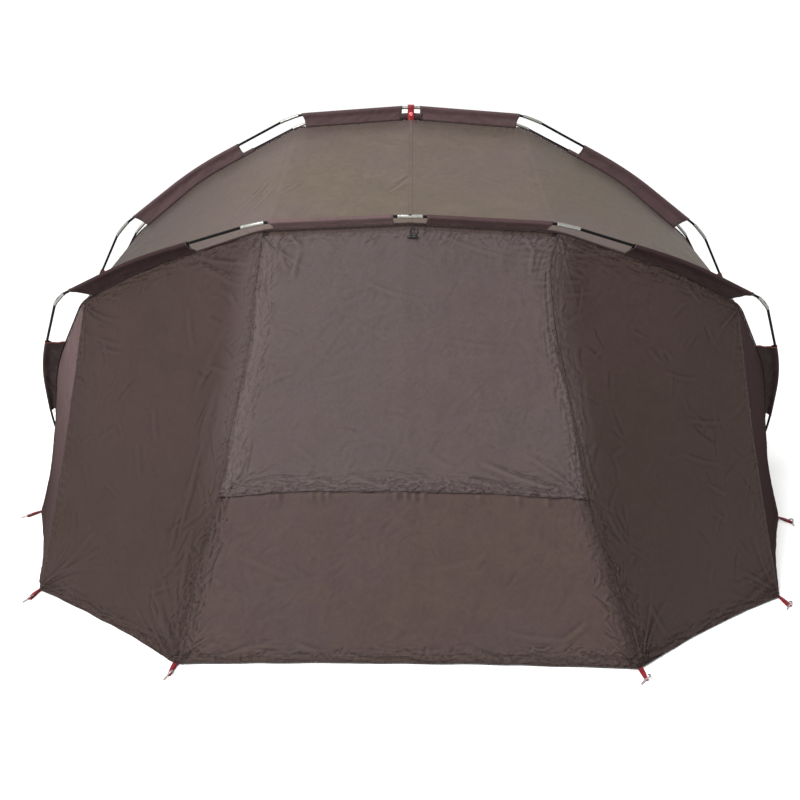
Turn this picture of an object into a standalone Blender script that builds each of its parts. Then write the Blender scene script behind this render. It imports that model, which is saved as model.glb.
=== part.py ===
"""Camping tent: four bowed poles from two feet carry a cover of sewn panels. Metres, +Z up, front at -Y."""

import math

import bpy
import bmesh
from mathutils import Matrix, Vector

# Half shapes in a rib's plane: across from the middle, and up along the plane from the foot.
# A pole's points are its middle, elbow, bow, shoulder, leg, low bend and foot; a seam stops at the low bend.
OUTER_POLE = [(0.0, 1.624), (0.487, 1.592), (0.930, 1.420), (1.262, 1.224),
              (1.456, 0.827), (1.565, 0.396), (1.597, 0.080)]
OUTER_SEAM = [(0.0, 1.589), (0.475, 1.557), (0.905, 1.373), (1.172, 1.204), (1.392, 0.830), (1.545, 0.420)]
INNER_POLE = [(0.0, 1.626), (0.479, 1.592), (0.900, 1.380), (1.246, 1.130),
              (1.400, 0.848), (1.555, 0.420), (1.597, 0.080)]
INNER_SEAM = [(0.0, 1.577), (0.465, 1.543), (0.870, 1.338), (1.176, 1.102), (1.335, 0.830), (1.530, 0.410)]
SEAM_LABELS = ("middle", "elbow", "bow", "shoulder", "leg", "low")
BENDS = [0.0, 0.12, 0.30, 0.14, 0.35, 0.30]  # share of the stretch beside each point that its bend takes up
BEND_STEPS = 4

# Ribs: the poles of one side turn about a foot at HUB, each plane leaning by its angle from upright
HUB = Vector((1.600, 0.0, 0.050))
RIBS = {
    "front": (39.5, OUTER_POLE, OUTER_SEAM),
    "mid_front": (4.5, INNER_POLE, INNER_SEAM),
    "mid_back": (-9.2, INNER_POLE, INNER_SEAM),
    "back": (-39.5, OUTER_POLE, OUTER_SEAM),
}
ENDS = (("front", -1), ("back", 1))
SIDES = (("left", -1), ("right", 1))

POLE_R = 0.00425
FERRULE_R = 0.00575
FERRULE_LONG = 0.080
FERRULE_STEP = 0.0006
ELBOW_FERRULE_SHIFT = 0.022

# Hem corners on the ground, one quarter
HEM = {"door": (0.704, 1.535), "corner": (1.303, 1.100), "side": (1.581, 0.433)}
HUB_SEAM_X = 1.575
INSIDE = Vector((0.0, 0.0, 0.5))
CLOTH = 0.003
GAP = 0.00017
SEAT = 0.0003
FLAT = 1e-6

# Half widths of the flap, the height of its lower edge, and how far its top stays below the seam
FLAP_TOP = 0.455
FLAP_LOW = 0.560
FLAP_LOW_Z = 0.460
FLAP_BELOW_SEAM = 0.008

SLEEVE_R = 0.0095
SLEEVE_STEPS = 9
FIN = 0.004
BAND = 0.005
CUT_HALF = 0.020
CUT_ABOVE = 0.030
CHANNEL_R = POLE_R + 0.0005
CHANNEL_SIDES = 12
CHANNEL_TURN = 0.37
# Where a sleeve is open and shows its pole, as places that count the stretches between the half shape's points
OPEN_MIDDLE = 0.10
OPEN_ELBOW = (0.93, 1.54)
OPEN_SHOULDER = (2.83, 3.64)

FOOT_HALF_X = 0.021
FOOT_OUTLINE = [(0.052, 0.0), (0.100, 0.085), (0.104, 0.130), (0.062, 0.166), (0.030, 0.172)]
SOCKET_LONG = 0.2

STRAP_WIDE = 0.022
STRAP_THICK = 0.0025
STRAP_LOW = 0.004
STRAP_STEPS = 6
SNAP_R = 0.0075
SNAP_UP = 0.026
SNAP_FROM, SNAP_TO = 0.004, 0.0105

TOGGLE_TAB = Vector((0.010, 0.024, 0.002))
TOGGLE_R = 0.0045
TOGGLE_LONG = 0.028
TOGGLE_BELOW_SEAM = 0.012

LOOP_LONG = 0.056
LOOP_WIDE = 0.025
LOOP_THICK = 0.003
PEG_R = 0.0045
PEG_LONG = 0.052
PEG_FROM_END = 0.006
PEG_SIDES = 12
LOOP_TURN = {"door": 5.0, "corner": 12.0, "side": 40.0}  # degrees outwards from straight ahead of the end


def clear():
    for thing in list(bpy.data.objects):
        bpy.data.objects.remove(thing, do_unlink=True)


def collection(name, hidden=False):
    made = bpy.data.collections.new(name)
    bpy.context.scene.collection.children.link(made)
    made.hide_render = hidden
    return made


def material(name, color, roughness, metallic=0.0):
    made = bpy.data.materials.new(name)
    made.use_nodes = True
    shader = made.node_tree.nodes["Principled BSDF"]
    shader.inputs["Base Color"].default_value = (*color, 1.0)
    shader.inputs["Roughness"].default_value = roughness
    shader.inputs["Metallic"].default_value = metallic
    made.diffuse_color = (*color, 1.0)
    return made


# Making objects


def add_object(name, data, look, place=None):
    """An object of the tent or, without a look, a hidden cutter."""
    thing = bpy.data.objects.new(name, data)
    if look:
        data.materials.append(look)
    (BODY if look else CUTTERS).objects.link(thing)
    if not look:
        thing.hide_render = True
        thing.display_type = "WIRE"
    if place:
        thing.matrix_world = place
    return thing


def add_mesh(name, points, faces, look):
    """A mesh object from points and faces, its faces turned outwards."""
    data = bpy.data.meshes.new(name)
    data.from_pydata([tuple(p) for p in points], [], faces)
    shape = bmesh.new()
    shape.from_mesh(data)
    bmesh.ops.recalc_face_normals(shape, faces=shape.faces[:])
    shape.to_mesh(data)
    shape.free()
    return add_object(name, data, look)


def box(name, size, place, look):
    shape = bmesh.new()
    bmesh.ops.create_cube(shape, size=1.0, matrix=Matrix.Diagonal((*size, 1.0)))
    data = bpy.data.meshes.new(name)
    shape.to_mesh(data)
    shape.free()
    return add_object(name, data, look, place)


def rod(name, radius, long, place, look=None):
    """A cylinder along the local Z axis."""
    shape = bmesh.new()
    bmesh.ops.create_cone(
        shape, cap_ends=True, segments=PEG_SIDES, radius1=radius, radius2=radius, depth=long)
    data = bpy.data.meshes.new(name)
    shape.to_mesh(data)
    shape.free()
    return add_object(name, data, look, place)


def plate(name, outline, half_thick, place, look):
    """A flat outline in the local XY plane, filled and extruded to both sides."""
    data = bpy.data.curves.new(name, "CURVE")
    data.dimensions = "2D"
    data.fill_mode = "BOTH"
    data.extrude = half_thick
    spline = data.splines.new("POLY")
    spline.points.add(len(outline) - 1)
    for target, (x, y) in zip(spline.points, outline):
        target.co = (x, y, 0.0, 1.0)
    spline.use_cyclic_u = True
    return add_object(name, data, look, place)


def as_mesh(curve):
    """The curve object made a welded mesh object, so that it can be cut or joined."""
    bpy.context.view_layer.update()
    graph = bpy.context.evaluated_depsgraph_get()
    name, place = curve.name, curve.matrix_world.copy()
    look = curve.data.materials[0]
    data = bpy.data.meshes.new_from_object(curve.evaluated_get(graph))
    data.materials.clear()
    shape = bmesh.new()
    shape.from_mesh(data)
    bmesh.ops.remove_doubles(shape, verts=shape.verts[:], dist=FLAT)
    bmesh.ops.recalc_face_normals(shape, faces=shape.faces[:])
    shape.to_mesh(data)
    shape.free()
    bpy.data.objects.remove(curve, do_unlink=True)
    data.name = name
    return add_object(name, data, look, place)


def boolean(thing, other, operation):
    step = thing.modifiers.new(operation.lower() + "_" + other.name, "BOOLEAN")
    step.operation = operation
    step.solver = "EXACT"
    step.object = other


def frame_at(origin, x_axis, y_axis, z_axis):
    """The placing matrix with this origin and these axes."""
    turn = Matrix((x_axis, y_axis, z_axis)).transposed()
    return Matrix.Translation(origin) @ turn.to_4x4()



# Places in a rib's plane


def in_rib(point, angle, side=1):
    """A point of a half shape, placed in the plane of the rib that leans by angle."""
    across, along = point
    lean = math.radians(angle)
    return Vector((side * across, -along * math.sin(lean), HUB.z + along * math.cos(lean)))


def rib_normal(angle):
    lean = math.radians(angle)
    return Vector((0.0, math.cos(lean), math.sin(lean)))


def mix(a, b, share):
    return a + (b - a) * share


def half_path(points, rounded=True):
    """Samples along a half shape, with its bends rounded, as (place, point): place counts the stretches."""
    points = [Vector(p) for p in points]
    found = [(0.0, points[0])]
    for i in range(1, len(points) - 1):
        share = BENDS[i]
        enter = mix(points[i], points[i - 1], share)
        leave = mix(points[i], points[i + 1], share)
        for k in range(BEND_STEPS + 1):
            t = k / BEND_STEPS
            if rounded:
                at = mix(mix(enter, points[i], t), mix(points[i], leave, t), t)
            elif t < 0.5:
                at = mix(enter, points[i], 2 * t)
            else:
                at = mix(points[i], leave, 2 * t - 1)
            found.append((i + share * (2 * t - 1), at))
    found.append((float(len(points) - 1), points[-1]))
    return found


def sample(path, place):
    """The point of a sampled half path at this place."""
    for (p0, a), (p1, b) in zip(path, path[1:]):
        if place <= p1:
            return mix(a, b, (place - p0) / (p1 - p0))
    return path[-1][1]


def whole(half):
    """Both halves of a half path, left foot first, as (signed place, side, point)."""
    left = [(-place, -1, at) for place, at in reversed(half)]
    return left + [(place, 1, at) for place, at in half[1:]]


def loft(rows):
    """Points and faces of a capped skin through rows of equally many points, each row a closed ring."""
    points = [p for row in rows for p in row]
    n = len(rows[0])
    faces = []
    for i in range(len(rows) - 1):
        for k in range(n):
            a, b = i * n + k, i * n + (k + 1) % n
            faces.append((a, b, b + n, a + n))
    faces.append(tuple(range(n)))
    faces.append(tuple(range(len(points) - n, len(points))))
    return points, faces


def lofts(row_sets):
    """Several capped skins as one list of points and faces."""
    points, faces = [], []
    for rows in row_sets:
        more, skins = loft(rows)
        faces += [tuple(i + len(points) for i in skin) for skin in skins]
        points += more
    return points, faces


def ring(centre, x_axis, y_axis, radius, sides, turn=0.0):
    """Points round a circle, the first one turned by this share of a side."""
    angles = [math.tau * (k + turn) / sides for k in range(sides)]
    return [centre + (x_axis * math.cos(a) + y_axis * math.sin(a)) * radius for a in angles]


# Poles


def pole_stations(shape):
    """(point of the half shape, radius) along a pole, with a step at each ferrule's end."""
    half = half_path(shape)
    lengths = [0.0]
    for (_, a), (_, b) in zip(half, half[1:]):
        lengths.append(lengths[-1] + (b - a).length)
    by_length = [(length, at) for length, (_, at) in zip(lengths, half)]
    by_place = [(place, length) for length, (place, _) in zip(lengths, half)]
    elbow = sample(by_place, SEAM_LABELS.index("elbow"))
    shoulder = sample(by_place, SEAM_LABELS.index("shoulder"))
    radius_at = {length: POLE_R for length in lengths}
    for middle in (0.0, elbow + ELBOW_FERRULE_SHIFT, shoulder):
        low, high = middle - FERRULE_LONG / 2, middle + FERRULE_LONG / 2
        for length in radius_at:
            if low < length < high:
                radius_at[length] = FERRULE_R
        if low > 0:
            radius_at[low] = FERRULE_R
            radius_at[low - FERRULE_STEP] = POLE_R
        radius_at[high] = FERRULE_R
        radius_at[high + FERRULE_STEP] = POLE_R
    return [(sample(by_length, length), radius_at[length]) for length in sorted(radius_at)]


def pole(name, shape, angle):
    half = pole_stations(shape)
    points = [(in_rib(at, angle, -1), r) for at, r in reversed(half)]
    points += [(in_rib(at, angle, 1), r) for at, r in half[1:]]
    data = bpy.data.curves.new(name, "CURVE")
    data.dimensions = "3D"
    data.bevel_depth = POLE_R
    data.bevel_resolution = 2
    data.use_fill_caps = True
    spline = data.splines.new("POLY")
    spline.points.add(len(points) - 1)
    for target, (at, r) in zip(spline.points, points):
        target.co = (*at, 1.0)
        target.radius = r / POLE_R
    return add_object(name, data, FIBREGLASS)


# Cover: one shared net of outer points, each with an inner point a cloth's thickness inside it

NET = {}


def build_net():
    for rib, (angle, _, seam) in RIBS.items():
        for label, point in zip(SEAM_LABELS, seam):
            for _, side in SIDES:
                NET[rib, label, side] = in_rib(point, angle, side)
        NET[rib, "middle", 0] = in_rib(seam[0], angle)
    for _, side in SIDES:
        NET["hub", "seam", side] = Vector((side * HUB_SEAM_X, 0.0, HUB.z))
        NET["hub", "hem", side] = Vector((side * HUB_SEAM_X, 0.0, 0.0))
        for end, way in ENDS:
            for label, (x, y) in HEM.items():
                NET[end, label, side] = Vector((side * x, way * y, 0.0))


def end_panel(end):
    left, right, top = (end, "elbow", -1), (end, "elbow", 1), (end, "middle", 0)
    low_left, low_right = (end, "door", -1), (end, "door", 1)
    return [(top, left, low_left), (top, low_left, low_right), (top, low_right, right)]


def wing_panel(end, side):
    elbow, bow, shoulder = ((end, label, side) for label in ("elbow", "bow", "shoulder"))
    door, corner = (end, "door", side), (end, "corner", side)
    return [(elbow, bow, door), (bow, shoulder, door), (shoulder, corner, door)]


def side_panel(end, side):
    shoulder, leg, low = ((end, label, side) for label in ("shoulder", "leg", "low"))
    corner, flank = (end, "corner", side), (end, "side", side)
    seam, hem = ("hub", "seam", side), ("hub", "hem", side)
    return [(shoulder, leg, corner), (leg, flank, corner),
            (leg, low, flank), (low, seam, flank), (seam, hem, flank)]


def gore_panel(rib, other, side):
    """The tapering panel between two ribs, from their shoulders down to the foot."""
    shoulder, leg, low = ((rib, label, side) for label in ("shoulder", "leg", "low"))
    o_shoulder, o_leg, o_low = ((other, label, side) for label in ("shoulder", "leg", "low"))
    return [(shoulder, o_shoulder, leg), (o_shoulder, o_leg, leg),
            (leg, o_leg, low), (o_leg, o_low, low), (low, o_low, ("hub", "seam", side))]


def roof_panel(rib, other):
    stops = [("shoulder", -1), ("bow", -1), ("elbow", -1), ("middle", 0),
             ("elbow", 1), ("bow", 1), ("shoulder", 1)]
    faces = []
    for here, ahead in zip(stops, stops[1:]):
        faces.append(((rib, *here), (rib, *ahead), (other, *ahead)))
        faces.append(((rib, *here), (other, *ahead), (other, *here)))
    return faces


def cover_panels():
    """Each panel as (name, look, triangles of net keys)."""
    found = []
    for end, _ in ENDS:
        inner = "mid_" + end
        found.append((end + "_panel", FRONT_CLOTH, end_panel(end)))
        found.append(("roof_" + end, ROOF_CLOTH, roof_panel(end, inner)))
        for label, side in SIDES:
            found.append((f"wing_{end}_{label}", SIDE_CLOTH, wing_panel(end, side)))
            found.append((f"side_{end}_{label}", SIDE_CLOTH, side_panel(end, side)))
            found.append((f"gore_{end}_{label}", SIDE_CLOTH, gore_panel(end, inner, side)))
    found.append(("roof_crown", ROOF_CLOTH, roof_panel("mid_front", "mid_back")))
    for label, side in SIDES:
        found.append((f"gore_mid_{label}", SIDE_CLOTH, gore_panel("mid_front", "mid_back", side)))
    return found


def oriented(faces):
    """Triangles turned so that all of them face out of the tent."""
    found = []
    for keys in faces:
        a, b, c = (NET[k] for k in keys)
        if (b - a).cross(c - a).dot((a + b + c) / 3 - INSIDE) < 0:
            keys = (keys[0], keys[2], keys[1])
        found.append(keys)
    return found


def inner_points(panels):
    """The net's points moved in by a cloth's thickness, hem points staying on the ground."""
    normals = {}
    for _, _, faces in panels:
        for keys in faces:
            a, b, c = (NET[k] for k in keys)
            normal = (b - a).cross(c - a).normalized()
            for i, key in enumerate(keys):
                here, other, last = NET[key], NET[keys[i - 1]], NET[keys[(i + 1) % 3]]
                normals.setdefault(key, []).append((normal, (other - here).angle(last - here)))
    found = {}
    for key, sides in normals.items():
        total = Vector()
        for normal, weight in sides:
            total += normal * weight
        if NET[key].z < FLAT:
            total.z = 0
        total.normalize()
        reach = max(min(total.dot(normal) for normal, _ in sides), 0.5)
        found[key] = NET[key] - total * (CLOTH / reach)
    return found


def border(faces):
    """The outer loop of a panel's triangles, in order."""
    edges = {}
    for keys in faces:
        for i in range(3):
            edges[keys[i], keys[(i + 1) % 3]] = True
    following = {a: b for a, b in edges if (b, a) not in edges}
    loop = [next(iter(following))]
    while following[loop[-1]] != loop[0]:
        loop.append(following[loop[-1]])
    return loop


def inset(loop, faces, places):
    """How far each border point moves for an even gap along every edge that isn't on the ground."""
    inward = {}
    for keys in faces:
        for i in range(3):
            start, end, third = keys[i], keys[(i + 1) % 3], keys[i - 1]
            along = (places[end] - places[start]).normalized()
            side = places[third] - places[start]
            side -= along * side.dot(along)
            on_ground = abs(places[start].z) < FLAT and abs(places[end].z) < FLAT
            inward[start, end] = (side.normalized(), 0.0 if on_ground else GAP)
    moves = {}
    count = len(loop)
    for i, key in enumerate(loop):
        side_in, gap_in = inward[loop[i - 1], key]
        side_out, gap_out = inward[key, loop[(i + 1) % count]]
        turn = side_in.dot(side_out)
        if 1 - turn * turn < FLAT:
            moves[key] = side_in * gap_in
            continue
        share_in = (gap_in - gap_out * turn) / (1 - turn * turn)
        share_out = (gap_out - gap_in * turn) / (1 - turn * turn)
        moves[key] = side_in * share_in + side_out * share_out
        if abs(places[key].z) < FLAT:
            moves[key].z = 0
    return moves


def add_panels():
    panels = [(name, look, oriented(faces)) for name, look, faces in cover_panels()]
    inner = inner_points(panels)
    for name, look, faces in panels:
        loop = border(faces)
        keys = sorted({k for f in faces for k in f}, key=str)
        shift_out = inset(loop, faces, NET)
        shift_in = inset(loop, faces, inner)
        index = {k: i for i, k in enumerate(keys)}
        n = len(keys)
        points = [NET[k] + shift_out.get(k, Vector()) for k in keys]
        points += [inner[k] + shift_in.get(k, Vector()) for k in keys]
        skins = [tuple(index[k] for k in f) for f in faces]
        skins += [tuple(index[k] + n for k in reversed(f)) for f in faces]
        for a, b in zip(loop, loop[1:] + loop[:1]):
            i, j = index[a], index[b]
            skins.append((j, i, i + n))
            skins.append((j, i + n, j + n))
        add_mesh(name, points, skins, look)


def end_plane(end, way):
    """The middle of an end's hem, with the axes of the plane through that hem and the seam's middle."""
    low = (NET[end, "door", -1] + NET[end, "door", 1]) / 2
    up = (NET[end, "middle", 0] - low).normalized()
    across = Vector((-way, 0.0, 0.0))
    return low, across, up, across.cross(up)


def add_flap(end, way):
    """The zipped cover that lies over the end panel, held just clear of it."""
    low, across, up, out = end_plane(end, way)
    top, elbow = NET[end, "middle", 0], NET[end, "elbow", 1]
    at_top = mix(top, elbow, FLAP_TOP / elbow.x).z / up.z - FLAP_BELOW_SEAM
    at_middle = top.z / up.z - FLAP_BELOW_SEAM
    at_low = FLAP_LOW_Z / up.z
    outline = [(-FLAP_LOW, at_low), (FLAP_LOW, at_low),
               (FLAP_TOP, at_top), (0.0, at_middle), (-FLAP_TOP, at_top)]
    place = frame_at(low + out * (SEAT + CLOTH / 2), across, up, out)
    plate(end + "_flap", outline, CLOTH / 2, place, FRONT_CLOTH)


def add_toggle(end, way):
    """A tab below the seam's middle with a bar across its foot, which holds the rolled flap."""
    low, across, up, out = end_plane(end, way)
    rise = (NET[end, "middle", 0] - low).length - TOGGLE_BELOW_SEAM
    tab_middle = low + out * (2 * SEAT + CLOTH + TOGGLE_TAB.z / 2) + up * (rise - TOGGLE_TAB.y / 2)
    thing = box("toggle_" + end, TOGGLE_TAB, frame_at(tab_middle, across, up, out), SLEEVE_CLOTH)
    bar_middle = low + out * (2 * SEAT + CLOTH + TOGGLE_R) + up * (rise - TOGGLE_TAB.y)
    bar = rod("toggle_bar_" + end, TOGGLE_R, TOGGLE_LONG, frame_at(bar_middle, up, out, across))
    boolean(thing, bar, "UNION")


# Sleeves


def sleeve_section(at, seam, across):
    """Keyhole ring: a fin standing on the seam and a tube round the pole."""
    up = (at - seam).normalized()
    low = seam + up * SEAT
    points = [low - across * (FIN / 2), low + across * (FIN / 2)]
    half_mouth = math.asin(FIN / 2 / SLEEVE_R)
    for k in range(SLEEVE_STEPS + 1):
        turn = half_mouth + (math.tau - 2 * half_mouth) * k / SLEEVE_STEPS
        points.append(at + across * (SLEEVE_R * math.sin(turn)) - up * (SLEEVE_R * math.cos(turn)))
    return points


def cut_section(at, seam, across):
    """Ring of a block that takes away the tube and the fin above its band."""
    up = (at - seam).normalized()
    low, high = seam + up * (SEAT + BAND), at + up * CUT_ABOVE
    half = across * CUT_HALF
    return [low - half, low + half, high + half, high - half]


def sleeve(name, angle, pole_shape, seam_shape):
    last = len(seam_shape) - 1
    across = rib_normal(angle)
    pole_half = [(place, at) for place, at in half_path(pole_shape) if place <= last]
    full_seam = half_path(seam_shape + [(HUB_SEAM_X, 0.0)], rounded=False)
    seam_half = [(place, at) for place, at in full_seam if place <= last]

    def row(make, place, side):
        at, seam = sample(pole_half, place), sample(seam_half, place)
        return make(in_rib(at, angle, side), in_rib(seam, angle, side), across)

    def cut_rows(start, stop, side):
        places = [start, *(p for p, _ in pole_half if start < p < stop), stop]
        return [row(cut_section, place, side) for place in places]

    rows = [row(sleeve_section, abs(place), side) for place, side, _ in whole(pole_half)]
    thing = add_mesh(name, *loft(rows), SLEEVE_CLOTH)
    cuts = [cut_rows(*places, side) for _, side in SIDES for places in (OPEN_ELBOW, OPEN_SHOULDER)]
    middle_left, middle_right = (cut_rows(0.0, OPEN_MIDDLE, side) for _, side in SIDES)
    cuts.append(middle_left[::-1] + middle_right[1:])
    boolean(thing, add_mesh(name + "_cuts", *lofts(cuts), None), "DIFFERENCE")
    channel = [in_rib(at, angle, side) for _, side, at in whole(half_path(pole_shape))]
    rings = []
    for i, here in enumerate(channel):
        along = (channel[min(i + 1, len(channel) - 1)] - channel[max(i - 1, 0)]).normalized()
        rings.append(ring(here, across, across.cross(along), CHANNEL_R, CHANNEL_SIDES, CHANNEL_TURN))
    boolean(thing, add_mesh(name + "_channel", *loft(rings), None), "DIFFERENCE")


# Feet, straps and peg loops


def foot(name, side):
    """A moulded block with a slanting socket for each pole end."""
    outline = [(-y, z) for y, z in FOOT_OUTLINE] + [(y, z) for y, z in reversed(FOOT_OUTLINE)]
    place = frame_at(Vector((side * HUB.x, 0, 0)), Vector((0, 1, 0)), Vector((0, 0, 1)), Vector((1, 0, 0)))
    thing = as_mesh(plate(name, outline, FOOT_HALF_X, place, PLASTIC))
    sockets = []
    for angle, shape, _ in RIBS.values():
        start, above = in_rib(shape[-1], angle, side), in_rib(shape[-2], angle, side)
        along, across = (above - start).normalized(), rib_normal(angle)
        sockets.append([
            ring(start + along * reach, across, across.cross(along), CHANNEL_R, CHANNEL_SIDES)
            for reach in (-SEAT, SOCKET_LONG)])
    boolean(thing, add_mesh(name + "_sockets", *lofts(sockets), None), "DIFFERENCE")


def crown_strap(name, rib, way):
    """A band over the pole at the top, its ends down both faces of the fin, and a snap on its outer end."""
    angle, pole_shape, seam_shape = RIBS[rib]
    across = rib_normal(angle) * way
    along = in_rib((0.0, 1.0), angle) - in_rib((0.0, 0.0), angle)
    top, seam = pole_shape[0][1], seam_shape[0][1]
    r = FERRULE_R + SEAT
    half_fin = FIN / 2 + SEAT
    side = [(half_fin, seam + STRAP_LOW), (half_fin, seam + STRAP_LOW + BAND), (r, top - STRAP_LOW)]
    path = [Vector((-x, y)) for x, y in side]
    for k in range(STRAP_STEPS + 1):
        turn = math.pi - math.pi * k / STRAP_STEPS
        path.append(Vector((r * math.cos(turn), top + r * math.sin(turn))))
    path += [Vector(p) for p in reversed(side)]
    outer = []
    for i, here in enumerate(path):
        ahead = path[min(i + 1, len(path) - 1)] - path[max(i - 1, 0)]
        outer.append(here + Vector((-ahead.y, ahead.x)).normalized() * STRAP_THICK)
    centre = Vector((0, 0, HUB.z))
    place = frame_at(centre, across, along, across.cross(along))
    thing = as_mesh(plate(name, path + outer[::-1], STRAP_WIDE / 2, place, RED_WEB))
    snap_middle = centre + along * (seam + SNAP_UP) + across * ((SNAP_FROM + SNAP_TO) / 2)
    snap_place = frame_at(snap_middle, along, across.cross(along), across)
    snap = rod(name + "_snap", SNAP_R, SNAP_TO - SNAP_FROM, snap_place)
    boolean(thing, snap, "UNION")


def peg_loop(name, spot, way, side):
    """Webbing that lies on the ground from a hem corner, held by the head of a peg across its end."""
    def hem_point(label, mirror=1):
        x, y = HEM[label]
        return Vector((mirror * side * x, way * y, 0))

    up = Vector((0, 0, 1))
    turn = math.radians(LOOP_TURN[spot])
    away = Vector((side * math.sin(turn), way * math.cos(turn), 0))
    beside = up.cross(away)
    corner = hem_point(spot)
    behind = {"door": hem_point("door", -1), "corner": hem_point("door"), "side": hem_point("corner")}[spot]
    out = (corner - behind).cross(up).normalized()
    out *= math.copysign(1, out.dot(corner))
    inwards = beside * math.copysign(1, beside.dot(behind - corner))
    clear_hem = (SEAT + LOOP_WIDE / 2 * max(0, -inwards.dot(out))) / away.dot(out)
    near = corner + away * clear_hem
    web_middle = near + away * (LOOP_LONG / 2) + up * (LOOP_THICK / 2)
    thing = box(name, (LOOP_LONG, LOOP_WIDE, LOOP_THICK), frame_at(web_middle, away, beside, up), RED_WEB)
    peg_middle = near + away * (LOOP_LONG - PEG_FROM_END) + up * PEG_R
    peg = rod(name + "_head", PEG_R, PEG_LONG, frame_at(peg_middle, away, up, -beside))
    boolean(thing, peg, "UNION")


clear()
BODY = collection("camping_tent")
CUTTERS = collection("cutters", hidden=True)

FRONT_CLOTH = material("front_cloth", (0.135, 0.105, 0.098), 0.55)
SIDE_CLOTH = material("side_cloth", (0.085, 0.062, 0.055), 0.55)
ROOF_CLOTH = material("roof_cloth", (0.20, 0.17, 0.15), 0.55)
SLEEVE_CLOTH = material("sleeve_cloth", (0.035, 0.020, 0.020), 0.6)
FIBREGLASS = material("fibreglass", (0.01, 0.01, 0.01), 0.3)
PLASTIC = material("foot_plastic", (0.015, 0.015, 0.015), 0.45)
RED_WEB = material("red_webbing", (0.45, 0.02, 0.03), 0.6)

build_net()
add_panels()
for end, way in ENDS:
    add_flap(end, way)
    add_toggle(end, way)
    crown_strap("crown_strap_" + end, "mid_" + end, way)
for rib, (angle, pole_shape, seam_shape) in RIBS.items():
    pole("pole_" + rib, pole_shape, angle)
    sleeve("sleeve_" + rib, angle, pole_shape, seam_shape)
for label, side in SIDES:
    foot("foot_" + label, side)
    for end, way in ENDS:
        for spot in HEM:
            peg_loop(f"peg_loop_{spot}_{end}_{label}", spot, way, side)
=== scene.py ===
import math
import bpy
import bmesh
import numpy as np
from mathutils import Matrix, Vector


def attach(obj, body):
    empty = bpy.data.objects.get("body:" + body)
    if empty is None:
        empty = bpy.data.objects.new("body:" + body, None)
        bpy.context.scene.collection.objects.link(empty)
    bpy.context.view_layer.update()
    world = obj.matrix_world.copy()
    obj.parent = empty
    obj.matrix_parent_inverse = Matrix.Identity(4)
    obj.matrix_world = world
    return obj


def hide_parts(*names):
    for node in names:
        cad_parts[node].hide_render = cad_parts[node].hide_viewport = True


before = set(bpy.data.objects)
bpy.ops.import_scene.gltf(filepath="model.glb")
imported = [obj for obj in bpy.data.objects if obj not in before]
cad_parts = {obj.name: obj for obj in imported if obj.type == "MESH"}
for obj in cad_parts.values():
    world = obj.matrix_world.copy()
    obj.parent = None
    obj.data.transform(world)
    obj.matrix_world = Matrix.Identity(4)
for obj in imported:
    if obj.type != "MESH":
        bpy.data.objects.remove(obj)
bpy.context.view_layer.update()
print("frame: loaded")

scene = bpy.context.scene

# The camera stands before the door, a little above the crown's height
view = {"focalPixels": 836.0, "imagePixels": 800.0, "sensorMm": 36.0, "eye": (0.0, -3.73, 1.50),
        "pitchDeg": 16.6, "yawDeg": 0.64, "rollDeg": 0.21}


def makeCamera():
    pitch, yaw, roll = (math.radians(view[k]) for k in ("pitchDeg", "yawDeg", "rollDeg"))
    data = bpy.data.cameras.new("photoCamera")
    data.sensor_width = view["sensorMm"]
    data.lens = view["focalPixels"] / view["imagePixels"] * view["sensorMm"]
    camera = bpy.data.objects.new("photoCamera", data)
    scene.collection.objects.link(camera)
    right = Vector((math.cos(yaw), math.sin(yaw), 0))
    ahead = Vector((-math.sin(yaw) * math.cos(pitch), math.cos(yaw) * math.cos(pitch), -math.sin(pitch)))
    up = right.cross(ahead)
    turnedRight = right * math.cos(roll) + up * math.sin(roll)
    turnedUp = up * math.cos(roll) - right * math.sin(roll)
    place = Matrix((turnedRight, turnedUp, -ahead)).transposed().to_4x4()
    place.translation = Vector(view["eye"])
    camera.matrix_world = place
    scene.camera = camera


# The tent's shape in metres, half of it: across from the middle, then up the rib's own plane from the foot.
# Points: middle, elbow, bow, shoulder, leg, low bend, foot.
tent = {
    "outerPole": [(0.0, 1.624), (0.487, 1.592), (0.930, 1.420), (1.262, 1.224),
                  (1.456, 0.827), (1.565, 0.396), (1.597, 0.080)],
    "outerSeam": [(0.0, 1.589), (0.475, 1.557), (0.905, 1.373), (1.172, 1.204),
                  (1.392, 0.830), (1.545, 0.420), (1.575, 0.0)],
    "innerPole": [(0.0, 1.626), (0.479, 1.592), (0.900, 1.380), (1.246, 1.130),
                  (1.400, 0.848), (1.555, 0.420), (1.597, 0.080)],
    "innerSeam": [(0.0, 1.577), (0.465, 1.543), (0.870, 1.338), (1.176, 1.102),
                  (1.335, 0.830), (1.530, 0.410), (1.575, 0.0)],
    "poleBends": (0.0, 0.12, 0.30, 0.14, 0.35, 0.30),
    "seamBends": (0.0, 0.10, 0.24, 0.12, 0.28, 0.24),
    "footHeight": 0.050,
    "lean": {"front": 39.5, "midFront": 4.5, "midBack": -9.2, "back": -39.5},
    "hem": {"door": (0.704, 1.535), "corner": (1.303, 1.100), "side": (1.581, 0.433), "hub": (1.575, 0.0)},
    "pegs": ("door", "corner", "side"),
    "stations": (0.0, 0.471, 0.930, 1.280, 1.690, 2.130, 2.550),  # mean length along a seam to each point
}
cadRib = {"front": "front", "midFront": "mid_front", "midBack": "mid_back", "back": "back"}
sides = (("left", -1), ("right", 1))
ends = {"front": -1, "back": 1}


# Plain tools for numbers and curves

def ease(x):
    x = np.clip(x, 0.0, 1.0)
    return x * x * (3 - 2 * x)


def unit(a):
    return a / np.maximum(np.linalg.norm(a, axis=-1, keepdims=True), 1e-9)


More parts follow.
